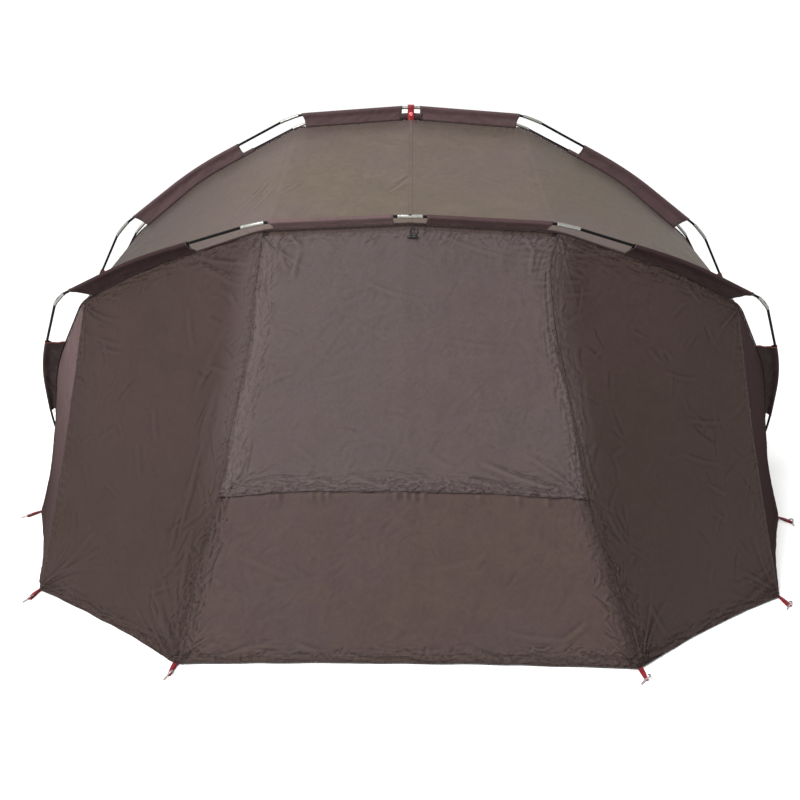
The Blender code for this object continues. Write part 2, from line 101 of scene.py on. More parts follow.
def roundedHalf(points, bends, steps=10):
    # (places, points) with each bend rounded; a place counts the stretches between the named points
    points = np.array(points)
    places, found = [0.0], [points[0]]
    for i in range(1, len(points) - 1):
        share = bends[i]
        enter = points[i] + (points[i - 1] - points[i]) * share
        leave = points[i] + (points[i + 1] - points[i]) * share
        for t in np.linspace(0, 1, steps + 1):
            found.append((1 - t) ** 2 * enter + 2 * t * (1 - t) * points[i] + t * t * leave)
            places.append(i + share * (2 * t - 1))
    places.append(len(points) - 1.0)
    found.append(points[-1])
    return np.array(places), np.array(found)


def makeRibs():
    found = {}
    for rib, lean in tent["lean"].items():
        kind = "outer" if abs(lean) > 20 else "inner"
        found[rib] = {"lean": math.radians(lean),
                      "pole": roundedHalf(tent[kind + "Pole"], tent["poleBends"]),
                      "seam": roundedHalf(tent[kind + "Seam"], tent["seamBends"])}
    return found


ribs = makeRibs()


def onRib(rib, line, places):
    # Points of a rib's pole or seam; places below zero are on the left
    places = np.asarray(places, float)
    known, half = ribs[rib][line]
    lean = ribs[rib]["lean"]
    across = np.interp(np.abs(places), known, half[:, 0]) * np.sign(places)
    up = np.interp(np.abs(places), known, half[:, 1])
    return np.stack([across, -up * math.sin(lean), tent["footHeight"] + up * math.cos(lean)], -1)


stationPlaces = np.arange(float(len(tent["stations"])))


def placeAt(lengths):
    # The place at a length along the seam; both count from the middle and are below zero on the left
    lengths = np.asarray(lengths, float)
    return np.sign(lengths) * np.interp(np.abs(lengths), tent["stations"], stationPlaces)


def placeLength(places):
    return np.sign(places) * np.interp(np.abs(places), stationPlaces, tent["stations"])


def ribSpan(rib, start, stop):
    # A seam from one named place to another, as a function of the share along it
    first, last = placeLength((start, stop))
    return lambda share: onRib(rib, "seam", placeAt(first + (last - first) * np.asarray(share)))


def bySmooth(table, width=0.12):
    # A smooth function through a short table of (share, value)
    xs, ys = zip(*table)
    fine = np.linspace(xs[0] - 0.5, xs[-1] + 0.5, 801)
    values = np.interp(fine, xs, ys)
    window = np.hanning(max(int(width / (fine[1] - fine[0])), 3) | 1)
    padded = np.pad(values, len(window) // 2, mode="edge")
    soft = np.convolve(padded, window / window.sum(), mode="valid")
    return lambda share: np.interp(share, fine, soft)


def smoothPath(points, count):
    # A rounded path through the points
    points = np.asarray(points, float)
    n = len(points)
    t = np.linspace(0, n - 1, count)
    i = np.minimum(t.astype(int), n - 2)
    f = (t - i)[:, None]
    p0, p1, p2, p3 = (points[np.clip(i + k, 0, n - 1)] for k in (-1, 0, 1, 2))
    return 0.5 * (2 * p1 + (p2 - p0) * f + (2 * p0 - 5 * p1 + 4 * p2 - p3) * f ** 2
                  + (3 * p1 - p0 - 3 * p2 + p3) * f ** 3)


def ripple(x, y, seed):
    # Gradient noise in two directions, from -0.7 to 0.7
    turn = np.random.default_rng(seed).uniform(0, math.tau, (97, 97))
    x, y = np.broadcast_arrays(np.asarray(x, float), np.asarray(y, float))
    xi, yi = np.floor(x).astype(int), np.floor(y).astype(int)
    xf, yf = x - xi, y - yi

    def corner(i, j):
        a = turn[(xi + i) % 97, (yi + j) % 97]
        return np.cos(a) * (xf - i) + np.sin(a) * (yf - j)

    su, sv = ease(xf), ease(yf)
    low = corner(0, 0) * (1 - su) + corner(1, 0) * su
    high = corner(0, 1) * (1 - su) + corner(1, 1) * su
    return low * (1 - sv) + high * sv


# Grids: each sheet of the cover is a patch between four edges, carved by its own relief

def coons(low, high, left, right, us, vs):
    b, t, l, r = low(us)[:, None], high(us)[:, None], left(vs)[None], right(vs)[None]
    u, v = us[:, None, None], vs[None, :, None]
    corners = (1 - u) * (1 - v) * b[0] + u * (1 - v) * b[-1] + (1 - u) * v * t[0] + u * v * t[-1]
    return (1 - v) * b + v * t + (1 - u) * l + u * r - corners


def normalsOf(points):
    n = unit(np.cross(np.gradient(points, axis=0), np.gradient(points, axis=1)))
    middle = points - np.array((0.0, 0.0, 0.5))
    return n if (n * middle).sum() > 0 else -n


def measured(points):
    # Lengths along the grid's lines, from each edge and along each edge
    du = np.linalg.norm(np.diff(points, axis=0), axis=2)
    dv = np.linalg.norm(np.diff(points, axis=1), axis=2)
    lu = np.concatenate([np.zeros((1, points.shape[1])), np.cumsum(du, axis=0)])
    lv = np.concatenate([np.zeros((points.shape[0], 1)), np.cumsum(dv, axis=1)], axis=1)
    flat = np.zeros_like(lu)
    return {"left": lu, "right": lu[-1:] - lu, "low": lv, "high": lv[:, -1:] - lv,
            "alongLow": lu[:, :1] + flat, "alongHigh": lu[:, -1:] + flat,
            "alongLeft": lv[:1] + flat, "alongRight": lv[-1:] + flat}


def gridOf(points):
    return {"base": points, "normal": normalsOf(points), **measured(points)}


def makeGrid(low, high, left, right, step):
    us = np.linspace(0, 1, 60)
    rough = measured(coons(low, high, left, right, us, us))
    nu = max(int(rough["left"][-1].max() / step), 8) + 1
    nv = max(int(rough["low"][:, -1].max() / step), 8) + 1
    us, vs = np.linspace(0, 1, nu), np.linspace(0, 1, nv)
    return gridOf(coons(low, high, left, right, us, vs))


def bilinear(field, u, v):
    nu, nv = field.shape[:2]
    x, y = np.clip(u, 0, 1) * (nu - 1), np.clip(v, 0, 1) * (nv - 1)
    i, j = np.minimum(x.astype(int), nu - 2), np.minimum(y.astype(int), nv - 2)
    fx, fy = (x - i)[..., None], (y - j)[..., None]
    return ((1 - fx) * (1 - fy) * field[i, j] + fx * (1 - fy) * field[i + 1, j]
            + (1 - fx) * fy * field[i, j + 1] + fx * fy * field[i + 1, j + 1])


# Relief: what tension, gathers and folding did to the cloth, in metres along its normal

farOff = 9.0  # metres, further than any sheet reaches
wholeSeam = (0.0, farOff)
hemFold = {"wide": 0.022, "thick": 0.0008, "dent": 0.0011, "dentWide": 0.0022, "stitches": 0.021}
puckerLook = {
    "group": (0.35, 1.7), "groupInSpan": (0.8, 0.6),  # least strength of a group of gathers, and its swing
    "groupPitches": 6, "reachPitches": 2.2, "phasePitches": 3, "phaseAway": 0.15,  # how fast each changes
    "sharp": 1.15, "level": 0.36, "spanFade": 0.03, "clear": 0.007,
}
crushLook = {
    "bend": 0.012, "bendSize": (0.11, 0.08),   # how far the long streaks bend, and the size of their bends
    "long": (0.070, 0.011), "longLean": 0.5,   # the streaks' size along and away from the seam, and their lean
    "short": (0.036, 0.024), "shortLean": (0.030, 0.5),
    "patches": (0.10, 0.07), "reachSize": 0.09, "clear": 0.004,
}
nickLook = {"turn": (0.15, 1.2), "half": (0.008, 0.022), "wide": (0.0022, 0.0038), "bend": 9.0, "clear": 0.003}
fanLook = {"turn": (0.05, 1.5), "wide": (0.018, 0.042), "far": (0.35, 1.0), "tall": (0.4, 1.0)}


def pinned(g, reach=0.014):
    hold = 1.0
    for edge in ("left", "right", "low", "high"):
        hold = hold * ease(g[edge] / reach)
    return hold


def slack(g, amount):
    u = g["left"] / np.maximum(g["left"] + g["right"], 1e-6)
    v = g["low"] / np.maximum(g["low"] + g["high"], 1e-6)
    return -amount * np.sin(math.pi * u) * np.sin(math.pi * v)


def bumps(g, size, height, seed):
    return height * 1.4 * ripple(g["left"] / size, g["low"] / size, seed)


def crumple(g, size, height, seed):
    # Sharp little ridges where folds were pressed in storage, in patches
    x, y = g["left"] / size, g["low"] / size
    x, y = x + 0.7 * ripple(x / 2, y / 2, seed + 1), y + 0.7 * ripple(x / 2, y / 2, seed + 2)
    patches = ease(0.45 + 1.5 * ripple(x / 5, y / 5, seed + 3))
    ridges = (1 - np.minimum(np.abs(ripple(x, y, seed)) * 3.4, 1)) ** 2
    dents = (1 - np.minimum(np.abs(ripple(x + 9, y + 5, seed + 4)) * 3.4, 1)) ** 2
    return height * patches * (ridges - 0.7 * dents)


def sagging(g, look, seed):
    # Sag and broad bumps, which die away at the edges
    height = slack(g, look["slack"])
    for k, (size, tall) in enumerate(look["bumps"]):
        height = height + bumps(g, size, tall, seed + k)
    return height * pinned(g, 0.05)


def crumples(g, look, seed):
    return sum(crumple(g, size, tall, seed + 10 + k) for k, (size, tall) in enumerate(look["crumple"]))


def worked(g, height, rows, seed):
    # Adds rows of relief: a function, its edge or corner, its step from the sheet's seed, and its own values
    for kind, where, step, *values in rows:
        height = height + kind(g, where, seed + step, *values)
    return height


def puckers(g, edge, seed, pitch, reach, height, slant, span=None):
    # Gathers that a sewn edge draws into the cloth, in groups, dying away from it
    look, s, d = puckerLook, g["along" + edge.capitalize()], g[edge]
    least, swing = look["groupInSpan" if span else "group"]
    group = ease(least + swing * ripple(s / (pitch * look["groupPitches"]), 0.5, seed))
    if span:
        group = group * ease((s - span[0]) / look["spanFade"]) * ease((span[1] - s) / look["spanFade"])
    own = reach * (0.75 + 0.7 * ripple(s / (pitch * look["reachPitches"]), 3.5, seed + 1))
    phase = s / pitch + slant * d / pitch
    phase = phase + 0.9 * ripple(s / (pitch * look["phasePitches"]), d / look["phaseAway"], seed + 2)
    wave = (1 - np.abs(np.sin(math.pi * phase))) ** look["sharp"] - look["level"]
    return height * group * wave * np.exp(-(d / own) ** 2) * ease(d / look["clear"])


def crushed(g, edge, seed, reach, height):
    # Cloth that a drawn-up seam has crushed: long thin streaks beside it, and patches where others cross them
    look, s, d = crushLook, g["along" + edge.capitalize()], g[edge]
    bent = d + look["bend"] * ripple(s / look["bendSize"][0], d / look["bendSize"][1], seed)
    along, away = look["long"]
    one = ripple(s / along + look["longLean"] * bent / away, bent / away, seed + 1)
    along, away = look["short"]
    turned, slanted = look["shortLean"]
    two = ripple(s / along - 0.8 * d / turned, (d + slanted * s) / away, seed + 3)
    patches = ease(0.4 + 1.4 * ripple(s / look["patches"][0], d / look["patches"][1], seed + 5))
    own = reach * (0.8 + 0.7 * ripple(s / look["reachSize"], 0.7, seed + 4))
    mask = np.exp(-(d / own) ** 2) * ease(d / look["clear"])
    long, short = ((1 - np.minimum(np.abs(k) * 3.0, 1)) ** 2 - 0.25 for k in (one, two))
    return height * mask * (one + 0.7 * long + patches * (0.6 * two + 0.8 * short))


def nicks(g, edge, seed, reach, spacing, height, span=wholeSeam, size=1.0):
    # Short sharp creases scattered beside a seam, most of them slanting away from it
    s, d = g["along" + edge.capitalize()], g[edge]
    rng = np.random.default_rng(seed)
    total = np.zeros_like(s)
    near = (d < reach + 0.02) & (s > span[0] - 0.03) & (s < span[1] + 0.03)
    s, d, found = s[near], d[near], total[near]
    for at in np.arange(span[0], min(span[1], float(s.max())), spacing):
        turn = rng.choice((-1, 1)) * rng.uniform(*nickLook["turn"])
        half = size * rng.uniform(*nickLook["half"])
        wide = size * rng.uniform(*nickLook["wide"])
        tall = rng.choice((-1, 1, 1))
        ds = s - at - rng.uniform(-spacing, spacing)
        dd = d - nickLook["clear"] - reach * rng.uniform(0, 1) ** 1.3
        a = ds * math.cos(turn) + dd * math.sin(turn)
        b = dd * math.cos(turn) - ds * math.sin(turn)
        b = b + rng.uniform(-nickLook["bend"], nickLook["bend"]) / size * a * a
        profile = np.exp(-(b / wide) ** 2) - 0.5 * np.exp(-((b + 1.5 * wide) / wide) ** 2)
        found += tall * profile * np.exp(-(a / half) ** 4)
    total[near] = found * ease(d / 0.003)
    return height * total


def fan(g, corner, seed, reach, height, count=9):
    # Pull lines that spread from a pegged corner
    x, y = (g[edge] for edge in corner)
    r = np.hypot(x, y) + 1e-6
    angle = np.arctan2(y, x)
    rng = np.random.default_rng(seed)
    total = np.zeros_like(r)
    for _ in range(count):
        middle = rng.uniform(*fanLook["turn"])
        wide = rng.uniform(*fanLook["wide"])
        far = reach * rng.uniform(*fanLook["far"])
        off = (angle - middle + 0.1 * np.sin(r / 0.11 + middle * 7)) / wide
        total += rng.uniform(*fanLook["tall"]) * np.exp(-off ** 2) * ease(r / 0.04) * np.exp(-(r / far) ** 2)
    return height * (total - 0.4 * total.mean()) * ease(np.minimum(x, y) / 0.014)


def doubled(g):
    # The step where a hem is folded double, with the small dents of its stitches
    d, wide = g["low"], hemFold["wide"]
    dents = np.exp(-((d - wide + 0.002) / hemFold["dentWide"]) ** 2)
    dents = dents * (0.6 + 0.8 * ripple(g["alongLow"] / 0.012, 0.4, 77))
    return hemFold["thick"] * (1 - ease((d - wide) / 0.003)) - hemFold["dent"] * dents


def creases(g, lines):
    # Single folds given by two ends in front view (across, up), with height and width in millimetres
    p, n = g["base"], g["normal"]
    total = np.zeros(p.shape[:2])

    def nearest(x, z):
        return p[np.unravel_index(np.argmin((p[..., 0] - x) ** 2 + (p[..., 2] - z) ** 2), total.shape)]

    for x0, z0, x1, z1, tallMm, wideMm in lines:
        a, wide = nearest(x0, z0), wideMm / 1000
        axis = nearest(x1, z1) - a
        long = np.linalg.norm(axis)
        t = ((p - a) @ axis) / max(axis @ axis, 1e-9)
        off = p - a - np.clip(t, 0, 1)[..., None] * axis
        beside = (off * np.cross(n, axis / long)).sum(-1)
        side = beside + 0.03 * long * np.sin(math.pi * np.clip(t, 0, 1))
        d = np.sqrt(side ** 2 + np.maximum((off * off).sum(-1) - beside ** 2, 0)) / wide
        fade = np.sin(math.pi * np.clip(t * 0.94 + 0.03, 0, 1)) ** 0.6
        valley = 0.45 * np.exp(-((side / wide - 1.6) ** 2 + d ** 2 * 0.25))
        total += 1.7 * tallMm / 1000 * (np.exp(-d ** 2) - valley) * fade
    return total


# Materials

def colour(code):
    parts = [int(code[i:i + 2], 16) / 255 for i in (1, 3, 5)]
    return (*(c / 12.92 if c <= 0.04045 else ((c + 0.055) / 1.055) ** 2.4 for c in parts), 1.0)


def feed(tree, node, inputs):
    # An input takes a value, a hex colour or another node's output
    for socket, source in inputs.items():
        if isinstance(source, bpy.types.NodeSocket):
            tree.links.new(source, node.inputs[socket])
        else:
            node.inputs[socket].default_value = colour(source) if isinstance(source, str) else source


def addNode(tree, kind, inputs=None, **settings):
    node = tree.nodes.new(kind)
    for name, value in settings.items():
        setattr(node, name, value)
    feed(tree, node, inputs or {})
    return node


def newMaterial(name, inputs):
    made = bpy.data.materials.new(name)
    made.use_nodes = True
    shader = made.node_tree.nodes["Principled BSDF"]
    feed(made.node_tree, shader, inputs)
    return made, made.node_tree, shader


def mixed(tree, factor, a, b):
    return addNode(tree, "ShaderNodeMix", {0: factor, 6: a, 7: b}, data_type="RGBA").outputs[2]


def times(tree, a, b):
    return addNode(tree, "ShaderNodeMath", {0: a, 1: b}, operation="MULTIPLY").outputs[0]


def ranged(tree, source, low, high, start=0.0, stop=1.0):
    inputs = {0: source, 1: low, 2: high, 3: start, 4: stop}
    return addNode(tree, "ShaderNodeMapRange", inputs, clamp=True).outputs[0]


def attribute(tree, name, output):
    return addNode(tree, "ShaderNodeAttribute", attribute_name=name).outputs[output]


def objectPlace(tree):
    return addNode(tree, "ShaderNodeTexCoord").outputs["Object"]


def noise(tree, vector, sizeMm, detail=2.0, kind="FBM", distortion=0.0):
    inputs = {"Vector": vector, "Scale": 1000.0 / sizeMm, "Detail": detail, "Roughness": 0.55,
              "Distortion": distortion}
    return addNode(tree, "ShaderNodeTexNoise", inputs, noise_type=kind, normalize=True).outputs[0]


def bands(tree, vector, direction, pitchMm, distortion=0.0):
    inputs = {"Vector": vector, "Scale": 314.16 / pitchMm, "Distortion": distortion}
    node = addNode(tree, "ShaderNodeTexWave", inputs, wave_type="BANDS", bands_direction=direction)
    return node.outputs["Fac"]


def bump(tree, height, millimetres, below=None):
    inputs = {"Height": height, "Distance": millimetres / 1000.0, "Strength": 1.0}
    if below:
        inputs["Normal"] = below
    return addNode(tree, "ShaderNodeBump", inputs).outputs[0]


coverLook = {
    "roughness": 0.64, "specular": 0.07, "sheen": 0.02, "sheenRoughness": 0.45,
    "wideMm": 480, "closeMm": 70, "specksMm": 9, "specks": 0.24,  # changes of tone, from broad to fine
    # The first two set how strongly the folds are painted: shade in their valleys, a highlight on their ridges
    "foldPaintedShade": 0.90, "foldPaintedHighlight": 0.55, "grime": 0.22, "grimeReach": 0.012,
    # Relief in millimetres of height, and the sizes of its patterns
    "crumpleMm": 4.2, "creaseMm": 1.4, "puckerMm": 13.0, "weaveMm": 0.04,
    "patchesMm": 210, "crinkleMm": 46, "smallMm": 17, "gathersMm": 17, "threadMm": 1.6,
    "calm": 0.24,  # how much of the crinkling is left between its patches
    "puckerReach": 0.075, "puckerTurnDeg": 24, "puckerStretch": 4.4,
}


def taffeta(name, plain, warm, pale, dark, shaded, mottle=0.40, gloss=1.0):
    # Polyester taffeta, woven close and coated with polyurethane: a faint waxy sheen, and pressed-in crinkles
    look = coverLook
    made, tree, shader = newMaterial(name, {
        "Specular IOR Level": look["specular"] * gloss, "Sheen Weight": look["sheen"] * gloss,
        "Sheen Roughness": look["sheenRoughness"]})
    where = objectPlace(tree)
    cloth, seam = (attribute(tree, label, "Vector") for label in ("clothPlace", "seamPlace"))
    wide = ranged(tree, noise(tree, where, look["wideMm"], 1.5), 0.38, 0.62)
    close = ranged(tree, noise(tree, where, look["closeMm"], 4.0, distortion=0.6), 0.40, 0.66)
    specks = ranged(tree, noise(tree, where, look["specksMm"], 3.0), 0.30, 0.75)
    base = mixed(tree, wide, plain, warm)
    base = mixed(tree, times(tree, close, mottle), base, pale)
    base = mixed(tree, times(tree, specks, look["specks"]), base, dark)
    # Painted shade in the folds' valleys and a painted highlight on their ridges, so that the folds show under
    # any light
    fold = attribute(tree, "fold", "Fac")
    base = mixed(tree, ranged(tree, fold, 0.0, 1.0, 0.0, look["foldPaintedShade"]), base, dark)
    base = mixed(tree, ranged(tree, fold, 0.0, -1.0, 0.0, look["foldPaintedHighlight"]), base, pale)
    # Painted light and shade: each sheet's tone mixes the cloth towards its shaded colour, for how light falls
    # on that part
    base = mixed(tree, attribute(tree, "tone", "Fac"), shaded, base)
    # Handling darkens the cloth beside its seams
    near = addNode(tree, "ShaderNodeSeparateXYZ", {0: cloth}).outputs[2]
    base = mixed(tree, ranged(tree, near, 0.0, look["grimeReach"], look["grime"], 0.0), base, dark)
    # Gathers beside the seams: ridges that run off slanting from the stitches and fade with the distance
    slanted = addNode(tree, "ShaderNodeMapping", {
        "Vector": seam, "Rotation": (0.0, 0.0, math.radians(look["puckerTurnDeg"])),
        "Scale": (1.0, look["puckerStretch"], 1.0)}, vector_type="TEXTURE").outputs[0]
    away = addNode(tree, "ShaderNodeSeparateXYZ", {0: seam}).outputs[1]
    fade = ranged(tree, away, 0.0, look["puckerReach"], 1.0, 0.0)
    gathers = noise(tree, slanted, look["gathersMm"], 2.0, "RIDGED_MULTIFRACTAL", 0.3)
    normal = bump(tree, times(tree, times(tree, gathers, fade), fade), look["puckerMm"])
    patches = ranged(tree, noise(tree, where, look["patchesMm"], 2.0), 0.47, 0.64, look["calm"], 1.0)
    crinkle = noise(tree, where, look["crinkleMm"], 3.0, "RIDGED_MULTIFRACTAL", 0.4)
    small = noise(tree, where, look["smallMm"], 3.0, distortion=1.2)
    normal = bump(tree, times(tree, crinkle, patches), look["crumpleMm"], normal)
    normal = bump(tree, times(tree, small, patches), look["creaseMm"], normal)
    # The thread count is about 75 to the inch; the weave is drawn four times as coarse so that it can show
    weave = times(tree, bands(tree, cloth, "X", look["threadMm"]), bands(tree, cloth, "Y", look["threadMm"]))
    feed(tree, shader, {
        "Base Color": base, "Normal": bump(tree, weave, look["weaveMm"], normal),
        "Roughness": ranged(tree, close, 0.0, 1.0, look["roughness"] - 0.08, look["roughness"] + 0.10)})
    return made


webbingLook = {"roughness": 0.55, "sheen": 0.04, "specular": 0.2, "wornMm": 12, "ribMm": 2.6, "reliefMm": 0.25}


def webbing(name, plain, worn):
    # Woven polypropylene webbing: bright, close ribs across the strap
    look = webbingLook
    made, tree, shader = newMaterial(name, {
        "Roughness": look["roughness"], "Sheen Weight": look["sheen"], "Specular IOR Level": look["specular"]})
    where = objectPlace(tree)
    tone = ranged(tree, noise(tree, where, look["wornMm"], 3.0), 0.35, 0.7)
    relief = bump(tree, bands(tree, where, "DIAGONAL", look["ribMm"], 0.6), look["reliefMm"])
    feed(tree, shader, {"Base Color": mixed(tree, tone, plain, worn), "Normal": relief})
    return made


def plainFinish(name, low, high, roughness, metallic=0.0, sizeMm=8.0, reliefMm=0.05, specular=0.5):
    # A hard finish with a little change of tone and gloss over it
    made, tree, shader = newMaterial(name, {"Metallic": metallic, "Specular IOR Level": specular})
    where = objectPlace(tree)
    tone = ranged(tree, noise(tree, where, sizeMm, 3.0), 0.35, 0.68)
    feed(tree, shader, {
        "Base Color": mixed(tree, tone, low, high),
        "Roughness": ranged(tree, tone, 0.0, 1.0, roughness - 0.05, roughness + 0.08),
        "Normal": bump(tree, noise(tree, where, sizeMm / 4, 2.0), reliefMm)})
    return made


finishes = {
    # One taffeta in every finish, with its colours set part by part as painted light and shade: the wings
    # darker, the panel below the flap a little darker, the roof and the side panels lighter. The last colour
    # of each is what the sheets' tone mixes in: painted shade on the panel, roof, side panels and sleeves, and
    # painted light on the flap's border and beside the wings' door seams
    "flap": taffeta("taffetaFlap", "#3d3434", "#3e3434", "#453b3b", "#261f1e", "#433a38"),
    "front": taffeta("taffetaPanel", "#382e2e", "#392d2b", "#40352f", "#221b19", "#2b2220"),
    "wing": taffeta("taffetaWing", "#2c221e", "#2f2422", "#332926", "#1c1312", "#3d3434"),
    "side": taffeta("taffetaSide", "#524444", "#544545", "#5d4f4e", "#2a1f1f", "#2b2121", gloss=0.0),
    "roof": taffeta("taffetaRoof", "#4d443b", "#4e4340", "#584e46", "#332b29", "#2c2522", mottle=0.50),
    "sleeve": taffeta("taffetaSleeve", "#48393a", "#4c3b3d", "#574645", "#2e2223", "#251819"),
    "webbing": webbing("polypropyleneWebbingRed", "#5e0d15", "#741821"),
    "rust": webbing("polyesterBindingRust", "#6b3328", "#5c2a22"),
    "binding": webbing("polyesterBindingGrey", "#332c2c", "#292323"),
    # Pultruded glass fibre, smooth and dark, with a resin gloss along the rod
    "rod": plainFinish("fibreglassPultruded", "#050505", "#0b0b0c", 0.45, specular=0.06, sizeMm=5.0),
    # Steel tube, bright zinc plated, drawn along its length
    "ferrule": plainFinish("steelZincPlated", "#8c8c86", "#73736e", 0.38, metallic=0.8, sizeMm=4.0),
    "peg": plainFinish("steelGalvanised", "#a89c9b", "#7b7170", 0.42, metallic=0.6, sizeMm=5.0, reliefMm=0.12),
    # Nylon, injection moulded with a fine spark texture
    "moulded": plainFinish("nylonMoulded", "#0c0c0c", "#141415", 0.50, sizeMm=3.0, reliefMm=0.08,
                           specular=0.25),
    "snap": plainFinish("acetalSnap", "#b23e45", "#c8797c", 0.55, sizeMm=6.0, specular=0.2),
    "thread": plainFinish("polyesterThread", "#2a2220", "#352b29", 0.6, sizeMm=2.0),
    "cord": plainFinish("polyesterCordBlack", "#0c0a0a", "#1a1516", 0.6, sizeMm=2.0, reliefMm=0.3),
}
print("finishes: made", len(finishes))


# Mesh makers

sheetLook = {
    # foldTall: how deep a fold must be to take its full painted shade or highlight
    "thick": 0.0022, "foldTall": 0.0021,
    "innerSmooth": 10, "foldSmooth": 14,  # rounds of softening for the inner face and for the folds' painted shade and highlight
    "fineBand": {2: 0.078, 3: 0.055},     # beside an edge the mesh takes every line of the grid
    "coveredEach": 6, "innerEach": 4,
}


def addPiece(name, points, faces, look, own=None):
    data = bpy.data.meshes.new(name)
    data.from_pydata([tuple(p) for p in np.asarray(points).tolist()], [], faces)
    data.materials.append(finishes[look])
    data.polygons.foreach_set("use_smooth", [True] * len(data.polygons))
    for label, values in {"tone": np.ones(len(data.vertices)), **(own or {})}.items():
        values = np.asarray(values, float)
        held = data.attributes.new(label, "FLOAT" if values.ndim == 1 else "FLOAT_VECTOR", "POINT")
        held.data.foreach_set("value" if values.ndim == 1 else "vector", values.reshape(-1))
    data.update()
    piece = bpy.data.objects.new(name, data)
    scene.collection.objects.link(piece)
    return piece


def rim(ids):
    return np.concatenate([ids[:-1, 0], ids[-1, :-1], ids[:0:-1, -1], ids[0, :0:-1]])


def quads(ids):
    return np.stack([ids[:-1, :-1], ids[1:, :-1], ids[1:, 1:], ids[:-1, 1:]], -1).reshape(-1, 4)


def soften(field, rounds):
    for _ in range(rounds):
        field = field.copy()
        field[1:-1] = (field[:-2] + 2 * field[1:-1] + field[2:]) / 4
        field[:, 1:-1] = (field[:, :-2] + 2 * field[:, 1:-1] + field[:, 2:]) / 4
    return field


def meshLines(lengths, coarse, covered=farOff):
    # Which of a grid's fine lines the mesh takes: all beside the edges, one in two or three between,
    # and one in six where another sheet covers it
    near = np.minimum(lengths, lengths[-1] - lengths)
    numbers = np.arange(len(lengths))
    taken = (near < sheetLook["fineBand"][coarse]) | (numbers % coarse == 0)
    taken &= (lengths < covered) | (numbers % sheetLook["coveredEach"] == 0)
    taken[[0, -1]] = True
    return np.flatnonzero(taken)


def thinned(lines):
    return np.unique(np.append(np.arange(0, len(lines), sheetLook["innerEach"]), len(lines) - 1))


def rimFaces(outer, full, inner):
    # Faces between the fine rim of the outer face and the coarser rim of the inner one
    loop, stopsOf, below = rim(outer).tolist(), rim(full).tolist(), rim(inner).tolist()
    at = {vertex: k for k, vertex in enumerate(loop)}
    faces = []
    for k, vertex in enumerate(stopsOf):
        after = (k + 1) % len(stopsOf)
        start, stop = at[vertex], at[stopsOf[after]]
        stop += len(loop) if stop <= start else 0
        faces.append([loop[m % len(loop)] for m in range(stop, start - 1, -1)] + [below[k], below[after]])
    return faces


def addSheet(name, g, height, look, thick=sheetLook["thick"], coarse=3, tone=None, covered=farOff):
    # A closed sheet: a fine outer face, and a smoother inner face that takes only each fourth line of it
    outer = g["base"] + g["normal"] * height[..., None]
    g["made"], g["madeNormal"] = outer, normalsOf(outer)
    ou, ov = meshLines(g["left"].max(1), coarse), meshLines(g["low"].max(0), coarse, covered)
    pu, pv = thinned(ou), thinned(ov)
    inward = g["base"] + g["normal"] * (soften(height, sheetLook["innerSmooth"]) - thick)[..., None]
    ids = np.arange(len(ou) * len(ov)).reshape(len(ou), len(ov))
    innerIds = ids.size + np.arange(len(pu) * len(pv)).reshape(len(pu), len(pv))
    faces = quads(ids).tolist() + quads(innerIds)[:, ::-1].tolist()
    faces += rimFaces(ids, ids[np.ix_(pu, pv)], innerIds)
    i, j = height.shape[0] // 2, height.shape[1] // 2
    if np.cross(outer[i + 1, j] - outer[i, j], outer[i, j + 1] - outer[i, j]) @ g["normal"][i, j] < 0:
        faces = [f[::-1] for f in faces]

    def both(front, back):
        # The values of a field at the mesh's points, first on the outer and then on the inner face
        shape = (-1, *front.shape[2:])
        return np.concatenate([front[np.ix_(ou, ov)].reshape(shape),
                               back[np.ix_(ou[pu], ov[pv])].reshape(shape)])

    names = ("left", "right", "low", "high")
    edges = np.stack([g[edge] for edge in names])
    nearest, near = edges.argmin(0), edges.min(0)
    along = np.choose(nearest, [g["along" + edge.capitalize()] for edge in names])
    # Depth of each point below the softened sheet, or height above it: this sets the painted shade in the
    # folds and the painted highlight on the ridges, on the outer face only
    fold = np.clip((soften(height, sheetLook["foldSmooth"]) - height) / sheetLook["foldTall"], -1, 1)
    cloth = np.stack([g["left"], g["low"], near], -1)
    seam = np.stack([along, near, 0.37 * nearest], -1)
    own = {"clothPlace": both(cloth, cloth), "seamPlace": both(seam, seam), "fold": both(fold, 0 * fold)}
    if tone is not None:
        own["tone"] = both(tone, tone)
    return addPiece(name, both(outer, inward), faces, look, own)


def edgeRow(g, edge, distance):
    # The sheet's face at a distance from one of its edges: points and normals along that edge
    p, n, d = g["made"], g["madeNormal"], g[edge]
    if edge in ("left", "right"):
        p, n, d = p.swapaxes(0, 1), n.swapaxes(0, 1), d.swapaxes(0, 1)
    if edge in ("right", "high"):
        p, n, d = p[:, ::-1], n[:, ::-1], d[:, ::-1]
    lines = np.unique(np.append(np.arange(0, len(p), 3), len(p) - 1))
    found, turned = (np.array([[np.interp(distance, d[i], field[i][:, k]) for k in range(3)] for i in lines])
                     for field in (p, n))
    return found, unit(turned)


def loftRings(rings):
    # A closed skin through rings of equally many points
    rings = np.asarray(rings, float)
    count, n = rings.shape[:2]
    ids = np.arange(count * n).reshape(count, n)
    a, b = ids[:-1], ids[1:]
    faces = np.stack([a, np.roll(a, -1, 1), np.roll(b, -1, 1), b], -1).reshape(-1, 4).tolist()
    return rings.reshape(-1, 3), faces + [ids[0, ::-1].tolist(), ids[-1].tolist()]


def addLofts(name, sets, look, own=None):
    # Several closed skins as one piece, with its faces turned outwards
    points, faces, count = [], [], 0
    for rings in sets:
        p, f = loftRings(rings)
        faces += [[i + count for i in face] for face in f]
        points.append(p)
        count += len(p)
    points = np.concatenate(points)
    piece = addPiece(name, points, faces, look, own or {"clothPlace": points * (1, 1, 0) + (0, 0, 0.05)})
    work = bmesh.new()
    work.from_mesh(piece.data)
    bmesh.ops.recalc_face_normals(work, faces=work.faces[:])
    work.to_mesh(piece.data)
    work.free()
    return piece


# Geometry Nodes for what follows a path

